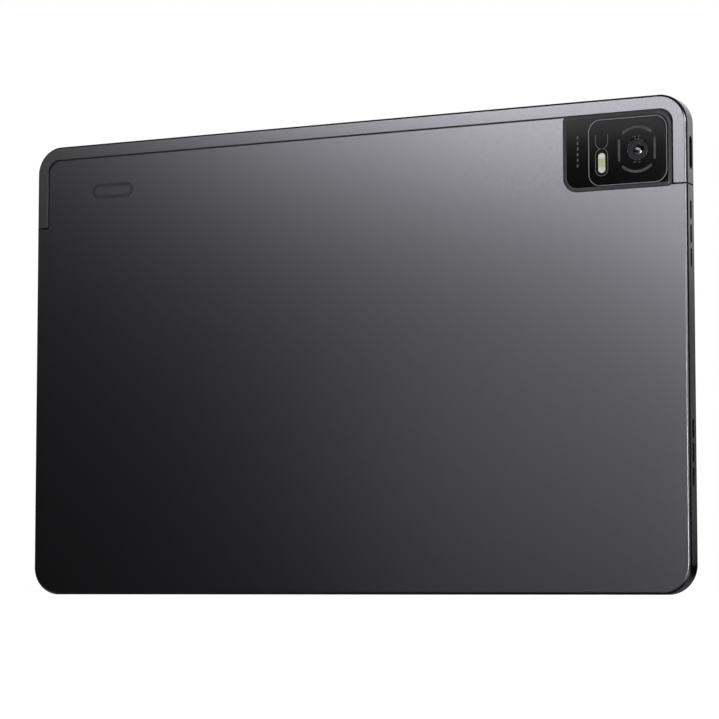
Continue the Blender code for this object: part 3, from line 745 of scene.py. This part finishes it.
# %% Finish: flash window with phosphor behind it
PHOSPHOR_MM = 4.2
PHOSPHOR_STOPS = (0.55, 1.0)
flash_low, flash_high = corners("flash_lens")
flash_middle = (flash_low + flash_high) / 2
milky_flash, tree, shader = new_finish("milky acrylic over phosphor", "e4e4e2", 0.18, IOR=1.49)
centred = add_node(
    tree,
    "Mapping",
    {
        "Vector": object_place(tree),
        "Location": [-c / PHOSPHOR_MM * 2 for c in flash_middle],
        "Scale": [2 / (PHOSPHOR_MM * MM)] * 3,
    },
)
apart = add_node(tree, "SeparateXYZ", {"Vector": centred.outputs["Vector"]})
off_middle = add_node(tree, "Math", {0: apart.outputs["Z"]}, operation="ABSOLUTE")
phosphor = shade_ramp(tree, off_middle.outputs["Value"], ("8e9364", "a8a8a6"), PHOSPHOR_STOPS)
tree.links.new(phosphor, shader.inputs["Base Color"])
grain(tree, shader, 0.5, (0.14, 0.24), 0.004)

# %% [markdown]
# The front is one sheet of strengthened glass with black ink printed round its border. With the screen off,
# the picture area under the glass is a shade lighter and bluer than the ink.

# %% Finish: display glass with a printed border
glass_low, glass_high = corners("cover_glass")
panel_low, panel_high = corners("display_panel")
display_glass, tree, shader = new_finish("display glass", "050506", 0.04, IOR=1.5)
apart = add_node(tree, "SeparateXYZ", {"Vector": object_place(tree)})
inside = []
for axis, low, high in (("X", panel_low.x, panel_high.x), ("Z", panel_low.z, panel_high.z)):
    middle, half = (low + high) / 2 * MM, (high - low) / 2 * MM
    offset = add_node(tree, "Math", {0: apart.outputs[axis], 1: middle}, operation="SUBTRACT")
    size = add_node(tree, "Math", {0: offset.outputs["Value"]}, operation="ABSOLUTE")
    test = add_node(tree, "Math", {0: size.outputs["Value"], 1: half}, operation="LESS_THAN")
    inside.append(test.outputs["Value"])
both = add_node(tree, "Math", {0: inside[0], 1: inside[1]}, operation="MULTIPLY")
screen = add_node(tree, "Mix", {"Factor": both.outputs["Value"]}, data_type="RGBA")
screen.inputs["A"].default_value = paint("040405")
screen.inputs["B"].default_value = paint("0b0c10")
tree.links.new(screen.outputs["Result"], shader.inputs["Base Color"])
grain(tree, shader, 25.0, (0.03, 0.07), 0.0)

# %% [markdown]
# The casing parts now get their last touch. A hair-fine bevel catches a thread of light on every machined
# edge. The rear chamfer gets its own bright finish: its faces are the ones that slope between rear and
# side.


# %% Finish the casing
CHAMFER_TILT = (0.3, 0.95)
CHAMFER_REACH = CHAMFER + 0.02


def slopes_at_rear(middle, normal):
    """True on the chamfer that runs round the rear edge."""
    tilted = CHAMFER_TILT[0] < normal.y < CHAMFER_TILT[1]
    near_edge = middle.y > REAR - CHAMFER_REACH
    outside = (
        abs(middle.x) > HALF_WIDTH - CHAMFER_REACH
        or middle.z > TOP - CHAMFER_REACH
        or middle.z < CHAMFER_REACH
        or (abs(middle.x) > HALF_WIDTH - CASE_RADIUS and not CASE_RADIUS < middle.z < TOP - CASE_RADIUS)
    )
    return tilted and near_edge and outside


def give_second_finish(piece, finish, wanted):
    """Adds a finish to a piece, on the faces that pass the test."""
    piece.data.materials.append(finish)
    index = len(piece.data.materials) - 1
    select_faces(piece, wanted)
    piece.active_material_index = index
    bpy.ops.object.material_slot_assign()
    bpy.ops.object.mode_set(mode="OBJECT")


EDGE_EASE = 0.06
rear_panel.data.materials.append(blasted_aluminium)
give_second_finish(rear_panel, cut_edge, slopes_at_rear)
ease(rear_panel, EDGE_EASE)
stand_for(rear_panel, "housing", "anodised_aluminium", "rear_cover")
antenna_strip.data.materials.append(flake_paint)
give_second_finish(antenna_strip, cut_edge, slopes_at_rear)
ease(antenna_strip, EDGE_EASE)
stand_for(antenna_strip, "housing", "painted_plastic", "antenna_cover")
coat(lip, matt_barrel, 0.05)
stand_for(lip, "housing", "painted_plastic")

# %% [markdown]
# ## The camera island
#
# The island is a frame of satin metal with sloping sides, standing a little proud of the panel, round a
# sheet of black glass. Insetting the block's rear face while pushing it out makes the slope in one move.
# The glass is the same outline, smaller, let into the frame.

# %% Shape the island's frame and its glass
SLOPE_WIDE, SLOPE_HIGH = 1.1, 0.35
LAND, GLASS_GAP = 0.1, 0.02
LENS_OPENING, FLASH_OPENING = 4.25, (3.0, 7.2)
island_y = (island_low.y, island_high.y)
lens_low, lens_high = corners("camera_lens")
lens_middle = middle_across(1, lens_low, lens_high)
flash_place = (flash_middle.x, flash_middle.z)

island_rim = island_block("island_rim", (island_y[0], island_y[1] - SLOPE_HIGH))
step_faces(island_rim, faces_rear, ((SLOPE_WIDE, SLOPE_HIGH),))
combine(island_rim, island_block("opening", (island_y[0] - 1, island_y[1] + 1), -SLOPE_WIDE - LAND))
coat(island_rim, satin_rim, 0.05)
stand_for(island_rim, "housing", "dark_metal")

glass_y = (island_y[0] + 0.1, island_y[1] - 0.03)
island_glass = island_block("island_glass", glass_y, -SLOPE_WIDE - LAND - GLASS_GAP)
combine(island_glass, add_disc("opening", lens_middle, LENS_OPENING, (0, BEYOND)))
combine(island_glass, long_hole(1, flash_place, FLASH_OPENING, (0, BEYOND)))
coat(island_glass, black_glass, 0.06, 3)
stand_for(island_glass, "housing", "black_glass", "camera_plate")

# %% [markdown]
# A second, smaller window stands on the island over the camera and the flash. A thin metal trim runs round
# it, and the glass inside has the soft, ground edge that catches a line of light.


# %% Shape the raised window
def rounded_block(name, low, high, y, radius, grow=0.0, segments=20):
    """A slab with four equal corners, from two corner places in x and z."""
    slab_x, slab_z = (low.x - grow, high.x + grow), (low.z - grow, high.z + grow)
    made = add_block(name, slab_x, y, slab_z)
    round_along(made, 1, radius + grow, segments)
    return made


WINDOW_RADIUS = 4.3
TRIM_WIDE, TRIM_DOWN = 0.42, 0.12
window_low, window_high = corners("camera_window")
window_y = (window_low.y, window_high.y)
trim_y = (island_y[1] - 0.3, window_y[1] - TRIM_DOWN)
window_trim = rounded_block("window_trim", window_low, window_high, trim_y, WINDOW_RADIUS)
through_window = (window_y[0] - 1, window_y[1] + 1)
opening = rounded_block("opening", window_low, window_high, through_window, WINDOW_RADIUS, -TRIM_WIDE)
combine(window_trim, opening)
window_trim.data.materials.append(satin_trim)
give_second_finish(window_trim, black_glass, lambda middle, normal: abs(normal.y) < 0.5)
ease(window_trim, 0.1, 3)
stand_for(window_trim, "housing", "dark_metal")

window_glass = rounded_block(
    "window_glass", window_low, window_high, window_y, WINDOW_RADIUS, -TRIM_WIDE - 0.02
)
LENS_HOLE = 3.75
combine(window_glass, add_disc("opening", lens_middle, LENS_HOLE, through_window))
FLASH_WIDE, FLASH_LONG = flash_high.x - flash_low.x, flash_high.z - flash_low.z
flash_opening = (FLASH_WIDE + 0.04, FLASH_LONG + 0.04)
combine(window_glass, long_hole(1, flash_place, flash_opening, through_window))
coat(window_glass, black_glass, 0.16, 4)
stand_for(window_glass, "housing", "black_glass", "camera_window")

# %% [markdown]
# Grey marks printed under the glass frame the lens: two arcs above and below, and two bars at its sides. A
# thin ring comes from a disc with a smaller disc cut out, and a block keeps the part of it that is printed.
# The print lies so close under the glass that here it lies just on it, a fiftieth of a millimetre thick.

# %% Print the marks round the lens
INK_Y = (window_y[1] - 0.005, window_y[1] + 0.012)


def ring(name, middle, radius, wide, y):
    """A flat ring, from a disc with a smaller disc cut out."""
    made = add_disc(name, middle, radius + wide / 2, y, 128)
    combine(made, add_disc("opening", middle, radius - wide / 2, (y[0] - 1, y[1] + 1), 128))
    return made


def finish_print(piece, ink):
    """Gives a printed mark its ink."""
    coat(piece, ink, 0.004, 1)
    stand_for(piece, "housing", "black_glass")


RING_RADIUS, RING_WIDE = 7.55, 0.9
ARC_HALF = 5.3
lens_x, lens_z = lens_middle
printed_arcs = ring("printed_arcs", lens_middle, RING_RADIUS, RING_WIDE, INK_Y)
for side in (-1, 1):
    aside = (lens_x + side * ARC_HALF, lens_x + side * BEYOND)
    combine(printed_arcs, add_block("aside", aside, through_window, (0, TOP)))
middle_strip = (lens_z - ARC_HALF, lens_z + ARC_HALF)
combine(printed_arcs, add_block("middle", (-HALF_WIDTH, 0), through_window, middle_strip))
finish_print(printed_arcs, printed_ink)

BAR_OFF, BAR_LONG, BAR_WIDE = 6.35, 7.6, 0.85
for side, name in ((-1, "printed_bar_left"), (1, "printed_bar_right")):
    bar = long_hole(1, (lens_x + side * BAR_OFF, lens_z), (BAR_WIDE, BAR_LONG), INK_Y, name=name)
    finish_print(bar, printed_ink)

DASH_OFF, DASH_SIZE = 3.0, (0.95, 0.42)
for number, (side, shift) in enumerate(((1, -0.8), (1, 0.8), (-1, -0.8), (-1, 0.8)), 1):
    place = (lens_x + shift, lens_z + side * (DASH_OFF + 1.3))
    dash = long_hole(1, place, DASH_SIZE, INK_Y, name=f"printed_dash_{number}")
    finish_print(dash, printed_ink)

# %% [markdown]
# The thin line that loops round the flash has two lobes, which meet where they touch. Each lobe is a long
# slot with a smaller slot cut out. The upper one is cut off, so its two ends run out upwards.

# %% Print the loop round the flash
LOOP_WIDE, LOOP_LINE = 4.6, 0.22
LOOP_CROSS = TOP - 17.3
LOOP_TOP, LOOP_LOW = TOP - 12.4, TOP - 26.6


def loop(name, low, high):
    middle, long = (flash_place[0], (low + high) / 2), high - low
    made = long_hole(1, middle, (LOOP_WIDE, long), INK_Y, name=name)
    combine(made, long_hole(1, middle, (LOOP_WIDE - 2 * LOOP_LINE, long - 2 * LOOP_LINE), through_window))
    return made


lower_loop = loop("flash_loop_lower", LOOP_LOW, LOOP_CROSS + LOOP_LINE / 2)
finish_print(lower_loop, line_ink)
upper_loop = loop("flash_loop_upper", LOOP_CROSS - LOOP_LINE / 2, LOOP_TOP + LOOP_WIDE)
combine(upper_loop, add_block("above", (-HALF_WIDTH, 0), through_window, (LOOP_TOP, TOP)))
finish_print(upper_loop, line_ink)

# %% [markdown]
# The maker's lettering is left out. On the island a plain broken line stands in its place, and on the panel
# an empty stadium-shaped outline, so the surfaces keep their balance without anyone's mark.

# %% Print the plain marks
PANEL_INK_Y = (REAR - 0.005, REAR + 0.01)
STROKE_X, STROKE_HIGH, STROKE_LOW = -89.6, 155.3, 143.8
STROKES = 6
pitch = (STROKE_HIGH - STROKE_LOW) / STROKES
GLASS_INK_Y = (island_y[1] - 0.035, island_y[1] - 0.018)
for number in range(STROKES):
    middle = (STROKE_X, STROKE_HIGH - (number + 0.5) * pitch)
    stroke = long_hole(1, middle, (0.45, pitch * 0.62), GLASS_INK_Y, name=f"island_stroke_{number + 1}")
    finish_print(stroke, faint_ink)

MARK_MIDDLE, MARK_SIZE, MARK_LINE = (95.2, 149.0), (17.3, 5.6), 1.2
panel_mark = long_hole(1, MARK_MIDDLE, MARK_SIZE, PANEL_INK_Y, name="panel_mark")
inner = [size - 2 * MARK_LINE for size in MARK_SIZE]
combine(panel_mark, long_hole(1, MARK_MIDDLE, inner, (0, BEYOND)))
coat(panel_mark, dark_ink, 0.004, 1)
stand_for(panel_mark, "housing", "anodised_aluminium")

# %% [markdown]
# Under the window the lens sits in a stepped barrel. Seen from outside it is a set of thin rings that step
# down to a small, strongly curved front element. The steps are insets of a disc's face, each pushed further
# in, and the element is a sphere cut to its cap and flattened.

# %% Build the lens and its barrel
barrel_low, barrel_high = corners("camera_barrel")
BARREL_STEPS = (
    (0.25, 0.0), (0.02, -0.35), (0.75, 0.0), (0.02, -0.3), (0.5, -0.12), (0.45, 0.0), (0.02, -0.3)
)
barrel_y = (barrel_low.y, barrel_high.y)
lens_barrel = add_disc("lens_barrel", lens_middle, (barrel_high.x - barrel_low.x) / 2, barrel_y, 128)
step_faces(lens_barrel, faces_rear, BARREL_STEPS)
coat(lens_barrel, matt_barrel, 0.03)
stand_for(lens_barrel, "housing", "dark_metal", "camera_barrel")

LENS_RINGS = ((3.35, 0.05, "lens_ring_outer"), (2.55, -0.3, "lens_ring_inner"))
LENS_RING_WIDE, LENS_RING_THICK = 0.16, 0.1
for radius, height, name in LENS_RINGS:
    top = barrel_high.y + height
    lens_ring = ring(name, lens_middle, radius, LENS_RING_WIDE, (top - LENS_RING_THICK, top))
    coat(lens_ring, satin_rim, 0.02)
    stand_for(lens_ring, "housing", "dark_metal")

ELEMENT_RADIUS, ELEMENT_CROWN = 1.9, 0.45
floor_y = barrel_high.y + sum(rise for _, rise in BARREL_STEPS)
middle = Vector((lens_x, floor_y, lens_z)) * MM
bpy.ops.mesh.primitive_uv_sphere_add(
    segments=64,
    ring_count=32,
    radius=ELEMENT_RADIUS * MM,
    location=middle,
    rotation=(math.pi / 2, 0, 0),
    scale=(1, 1, ELEMENT_CROWN / ELEMENT_RADIUS),
)
front_element = settle("front_element")
bpy.ops.object.mode_set(mode="EDIT")
bpy.ops.mesh.select_all(action="SELECT")
bpy.ops.mesh.bisect(plane_co=middle, plane_no=(0, 1, 0), clear_inner=True, use_fill=True)
bpy.ops.object.mode_set(mode="OBJECT")
front_element.data.materials.append(coated_element)
bpy.ops.object.shade_smooth_by_angle(angle=SMOOTH_BELOW)
stand_for(front_element, "housing", "clear_glass")

COVER_UNDER, COVER_TOP = 0.45, 0.03
cover_y = (window_y[1] - COVER_UNDER, window_y[1] - COVER_TOP)
lens_cover = add_disc("lens_cover", lens_middle, LENS_HOLE - GLASS_GAP, cover_y, 128)
coat(lens_cover, lens_glass, 0.05, 3)
stand_for(lens_cover, "housing", "clear_glass", "camera_lens")

# %% [markdown]
# The flash window is a pill of milky plastic that fills its opening, a touch lower than the glass.

# %% Build the flash window
flash_y = (flash_low.y, window_y[1] - 0.02)
flash_window = long_hole(1, flash_place, (FLASH_WIDE, FLASH_LONG), flash_y, name="flash_window")
coat(flash_window, milky_flash, 0.12, 3)
stand_for(flash_window, "housing", "flash_lens", "flash_lens")

# %% [markdown]
# ## Keys
#
# The power key lies in a slot in the short side, a little below the surface, and the volume key stands a
# fifth of a millimetre proud of the top edge. Both are small aluminium bars with full round ends and a
# crisp eased edge, dyed like the casing.

# %% Make the keys
KEY_PLAY = 0.12
POWER_PLAY, POWER_DEEP = 0.5, 0.7
power_size = [size - 2 * POWER_PLAY for size in POWER_SLOT]
power_x = (power_low.x + POWER_DEEP, power_high.x)
power_key = long_hole(0, power_middle, power_size, power_x, name="power_key")
coat(power_key, satin_rim, 0.12, 3)
stand_for(power_key, "power", "dark_metal", "power_button")

volume_size = [size - 2 * KEY_PLAY for size in VOLUME_SLOT]
volume_bar = long_hole(2, volume_middle, volume_size, (volume_low.z, volume_high.z), name="volume_bar")
coat(volume_bar, blasted_aluminium, 0.15, 3)
stand_for(volume_bar, "volume", "anodised_aluminium", "volume_key")

# %% [markdown]
# ## Charging socket
#
# A USB-C style socket is an oval tube of drawn stainless steel, with a flat plastic tongue in its middle
# that carries gold-plated contacts on both faces. The tube is a rounded bar with a smaller one cut out from
# its mouth, and its lip is eased where the plug slides in.

# %% Finishes: drawn steel, moulded nylon, gold
drawn_steel = grained_finish(
    "drawn stainless steel", 1.0, (("b0b0b2", "c0c0c2"), 1.5), (0.15, (0.2, 0.32), 0.001, (0.15, 1, 1))
)

moulded_nylon = grained_finish(
    "moulded glass-filled nylon", 0.0, (("121214", "18181a"), 1.0), (0.12, (0.4, 0.55), 0.003)
)

gold_plate = grained_finish("gold plate", 1.0, (("dcae52", "e8bd66"), 0.5), (0.1, (0.2, 0.32), 0.0005))

# %% Make the charging socket
SHELL_THICK, SHELL_BACK = 0.3, 0.7
socket_size = (socket_high.y - socket_low.y, socket_high.z - socket_low.z)
socket_shell = long_hole(0, socket_middle, socket_size, (socket_low.x, socket_high.x), name="socket_shell")
mouth_size = [size - 2 * SHELL_THICK for size in socket_size]
mouth_x = (socket_low.x + SHELL_BACK, HALF_WIDTH + WALL_OUT)
combine(socket_shell, long_hole(0, socket_middle, mouth_size, mouth_x))
coat(socket_shell, drawn_steel, 0.08, 3)
stand_for(socket_shell, "housing", "steel", "usb_c_shell")

tongue_low, tongue_high = corners("usb_c_tongue")
socket_tongue = add_block("socket_tongue", *zip(tongue_low, tongue_high))
round_along(socket_tongue, 1, 0.5, 6, where=lambda middle: middle.x > tongue_high.x - 0.1)
coat(socket_tongue, moulded_nylon, 0.06)
stand_for(socket_tongue, "housing", "black_plastic", "usb_c_tongue")

CONTACTS, CONTACT_PITCH, CONTACT_WIDE = 6, 0.95, 0.42
CONTACT_THICK = 0.03
for face, y in (("front", tongue_low.y - CONTACT_THICK), ("rear", tongue_high.y)):
    for number in range(CONTACTS):
        z = socket_middle[1] + (number - (CONTACTS - 1) / 2) * CONTACT_PITCH
        contact = add_block(
            f"socket_contact_{face}_{number + 1}",
            (tongue_low.x + 0.5, tongue_high.x - 0.8),
            (y, y + CONTACT_THICK),
            (z - CONTACT_WIDE / 2, z + CONTACT_WIDE / 2),
        )
        coat(contact, gold_plate, 0.01, 1)
        stand_for(contact, "housing", "steel")

# %% [markdown]
# ## Card tray
#
# The tray is one milled piece: a head that fills its opening flush with the wall, with a pinhole for the
# eject pin, and a thin plate with two pockets for the cards. It is built as it is machined: head and plate
# are joined, then the pockets and the hole are cut.

# %% Make the card tray
HEAD_DEEP, PLATE_THICK, PLATE_WIDE = 1.15, 0.75, 11.2
card_tray = long_hole(0, card_middle, CARD_HEAD, (card_high.x - HEAD_DEEP, card_high.x), name="card_carrier")
plate_z = (card_middle[1] - PLATE_WIDE / 2, card_middle[1] + PLATE_WIDE / 2)
plate_y = (card_middle[0] - PLATE_THICK / 2, card_middle[0] + PLATE_THICK / 2)
plate = add_block("plate", (card_low.x, card_high.x - 0.9), plate_y, plate_z)
round_along(plate, 1, 1.2, 8, where=lambda middle: middle.x < card_low.x + 1)
combine(card_tray, plate, "UNION")
POCKETS = ((105.6, 114.2), (115.4, 124.6))
POCKET_LONG = 8.9
for pocket in POCKETS:
    z = (card_middle[1] - POCKET_LONG / 2, card_middle[1] + POCKET_LONG / 2)
    cutter = add_block("pocket", pocket, (plate_y[0] + 0.15, plate_y[1] + 1), z)
    round_along(cutter, 1, 0.6, 6)
    combine(card_tray, cutter)
PINHOLE_RADIUS = 0.45
pinhole_z = card_middle[1] - 4.6
pin = (card_high.x - 3, card_high.x + 1)
combine(card_tray, long_hole(0, (card_middle[0], pinhole_z), [2 * PINHOLE_RADIUS] * 2, pin))
coat(card_tray, blasted_aluminium, 0.05)
stand_for(card_tray, "tray", "anodised_aluminium", "card_tray")

# %% [markdown]
# ## The front
#
# The cover glass is one sheet with a ground, rounded edge, printed black round its border from behind. It
# is cut as a rounded slab, and the front edge gets a broad bevel, as the grinding wheel leaves it. The
# front camera looks through a clear dot in the ink, with a thin ring round it.

# %% Make the cover glass and the front camera
GLASS_RADIUS, GROUND_EDGE = 8.7, 0.35
CLEAR_OF_CAMERA = 5
FRONT_CAMERA_STEPS = ((0.18, 0.0), (0.25, -0.08), (0.4, 0.0), (0.02, 0.1), (0.35, 0.04))
ELEMENT_REACH = 0.8
front_y = (glass_low.y, glass_high.y)
front_glass = rounded_block("front_glass", glass_low, glass_high, front_y, GLASS_RADIUS, 0, 28)
front_low, front_high = corners("front_camera_lens")
front_middle = middle_across(1, front_low, front_high)
FRONT_CAMERA_RADIUS = (front_high.x - front_low.x) / 2
combine(front_glass, add_disc("opening", front_middle, FRONT_CAMERA_RADIUS + 0.05, (-BEYOND, 0)))


def at_front_border(a, b):
    """True on the outer front edges, but not on those of the camera's opening."""
    return max(a.y, b.y) < glass_low.y + NEAR and abs(a.x) > CLEAR_OF_CAMERA


bevel_where(front_glass, at_front_border, GROUND_EDGE, 4)
coat(front_glass, display_glass, 0.03)
stand_for(front_glass, "housing", "display_glass", "cover_glass")

front_camera_y = (glass_low.y + 0.02, glass_high.y)
front_camera_dot = add_disc("front_camera_dot", front_middle, FRONT_CAMERA_RADIUS, front_camera_y, 64)
step_faces(front_camera_dot, faces_front, FRONT_CAMERA_STEPS)
front_camera_dot.data.materials.append(matt_barrel)
near_middle = Vector((front_middle[0], 0, front_middle[1]))
give_second_finish(
    front_camera_dot,
    coated_element,
    lambda middle, normal: (middle - near_middle).xz.length < ELEMENT_REACH and normal.y < 0,
)
ease(front_camera_dot, 0.02)
stand_for(front_camera_dot, "housing", "clear_glass", "front_camera_lens")

# %% [markdown]
# ## Inside the casing
#
# The plain solids inside already have the right shape, so they stay and only get their real finishes:
# boards under green solder mask, chips in matt epoxy, battery cells in embossed foil pouches, amber
# polyimide circuits, woven steel mesh behind the sound slots, and so on.

# %% Finishes: boards, chips and circuits
solder_mask = grained_finish(
    "green solder mask", 0.0, (("194430", "245a3e"), 2.0), (0.5, (0.3, 0.42), 0.01)
)

chip_epoxy = grained_finish(
    "moulded chip epoxy", 0.0, (("1b1b1d", "232325"), 0.8), (0.08, (0.55, 0.7), 0.004)
)

polyimide = grained_finish(
    "amber polyimide film", 0.0, (("9c5c18", "b4722a"), 4.0), (1.5, (0.25, 0.38), 0.01)
)

foil_pouch = grained_finish(
    "aluminium laminate pouch", 0.8, (("babbbd", "cacbcd"), 8.0), (2.5, (0.3, 0.45), 0.03)
)

rolled_graphite = grained_finish(
    "rolled graphite sheet", 0.4, (("262628", "323234"), 3.0), (0.4, (0.42, 0.6), 0.004, (1, 1, 0.2))
)

cast_magnesium = grained_finish(
    "cast magnesium alloy", 0.9, (("868789", "98999b"), 5.0), (0.6, (0.42, 0.6), 0.01)
)

reflector_film = grained_finish(
    "white reflector film", 0.0, (("e6e6e4", "f0f0ee"), 12.0), (3.0, (0.35, 0.5), 0.01)
)

stamped_steel = grained_finish(
    "stamped tinned steel", 1.0, (("a0a1a3", "b2b3b5"), 2.5), (0.3, (0.3, 0.45), 0.003)
)

led_phosphor = grained_finish("yellow phosphor", 0.0, (("d2c040", "e0d258"), 0.4), (0.1, (0.5, 0.7), 0.003))

# %% [markdown]
# The mesh behind the sound slots is woven from fine steel wire, dyed black, about 0.1 mm between wires. It
# is drawn at 0.25 mm so that the weave can be seen: two sets of waves, one along each direction, raise the
# wires in turn. The same waves set the colour, lighter on the crests and darker in the gaps: a painted
# highlight on the wires and painted shade between them, laid over the weave's own pattern.

# %% Finish: woven steel mesh
WIRE_PITCH = 0.25
WAVE = 2 * math.pi / (WIRE_PITCH * MM)
woven_mesh, tree, shader = new_finish("woven steel mesh", "17171a", 0.45, 0.7)
apart = add_node(tree, "SeparateXYZ", {"Vector": object_place(tree)})
waves = []
for axis in ("Y", "Z"):
    turns = add_node(tree, "Math", {0: apart.outputs[axis], 1: WAVE}, operation="MULTIPLY")
    wave = add_node(tree, "Math", {0: turns.outputs["Value"]}, operation="SINE")
    waves.append(wave.outputs["Value"])
weave = add_node(tree, "Math", {0: waves[0], 1: waves[1]}, operation="MAXIMUM")
# Painted highlight and painted shade: the weave's crests are coloured lighter and the gaps between wires
# darker.
tree.links.new(shade_ramp(tree, weave.outputs["Value"], ("060607", "3a3a3e")), shader.inputs["Base Color"])
bump = add_node(tree, "Bump", {"Height": weave.outputs["Value"], "Distance": 0.04 * MM})
tree.links.new(bump.outputs["Normal"], shader.inputs["Normal"])

# %% [markdown]
# Now every solid that stays gets its finish. The record already says which kind of stuff each one is,
# through its material slot, so one table from slot to finish does nearly all of them.

# %% Dress the inner parts
FINISH_OF_SLOT = {
    "anodised_aluminium": blasted_aluminium,
    "painted_plastic": flake_paint,
    "black_glass": black_glass,
    "clear_glass": lens_glass,
    "flash_lens": milky_flash,
    "dark_metal": satin_rim,
    "display_glass": display_glass,
    "white_film": reflector_film,
    "frame_alloy": cast_magnesium,
    "pouch_foil": foil_pouch,
    "board_green": solder_mask,
    "chip_black": chip_epoxy,
    "steel": stamped_steel,
    "flex_amber": polyimide,
    "black_plastic": moulded_nylon,
    "graphite": rolled_graphite,
    "mesh_cloth": woven_mesh,
}
FINISH_OF_NODE = {"flash_led": led_phosphor, "front_camera_lens": coated_element}
dressed = 0
for subpart in frame["record"]["subparts"]:
    name = subpart["node"]
    finish = FINISH_OF_NODE.get(name, FINISH_OF_SLOT[subpart["material_slot"]])
    for slot in frame["nodes"][name].material_slots:
        slot.material = finish
        dressed += 1
print("finishes set on", dressed, "solids")

# %% [markdown]
# Last come the two boxes: the plain model's box, taken right after loading, and the box of the finished
# model, both printed. They must agree, because looks never change sizes.

# %% Print the two boxes
made_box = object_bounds()
for label, (low, high) in (("CAD", cad_box), ("visual", made_box)):
    print(label, "box in mm:", [round((b - a) / MM, 2) for a, b in zip(low, high)])
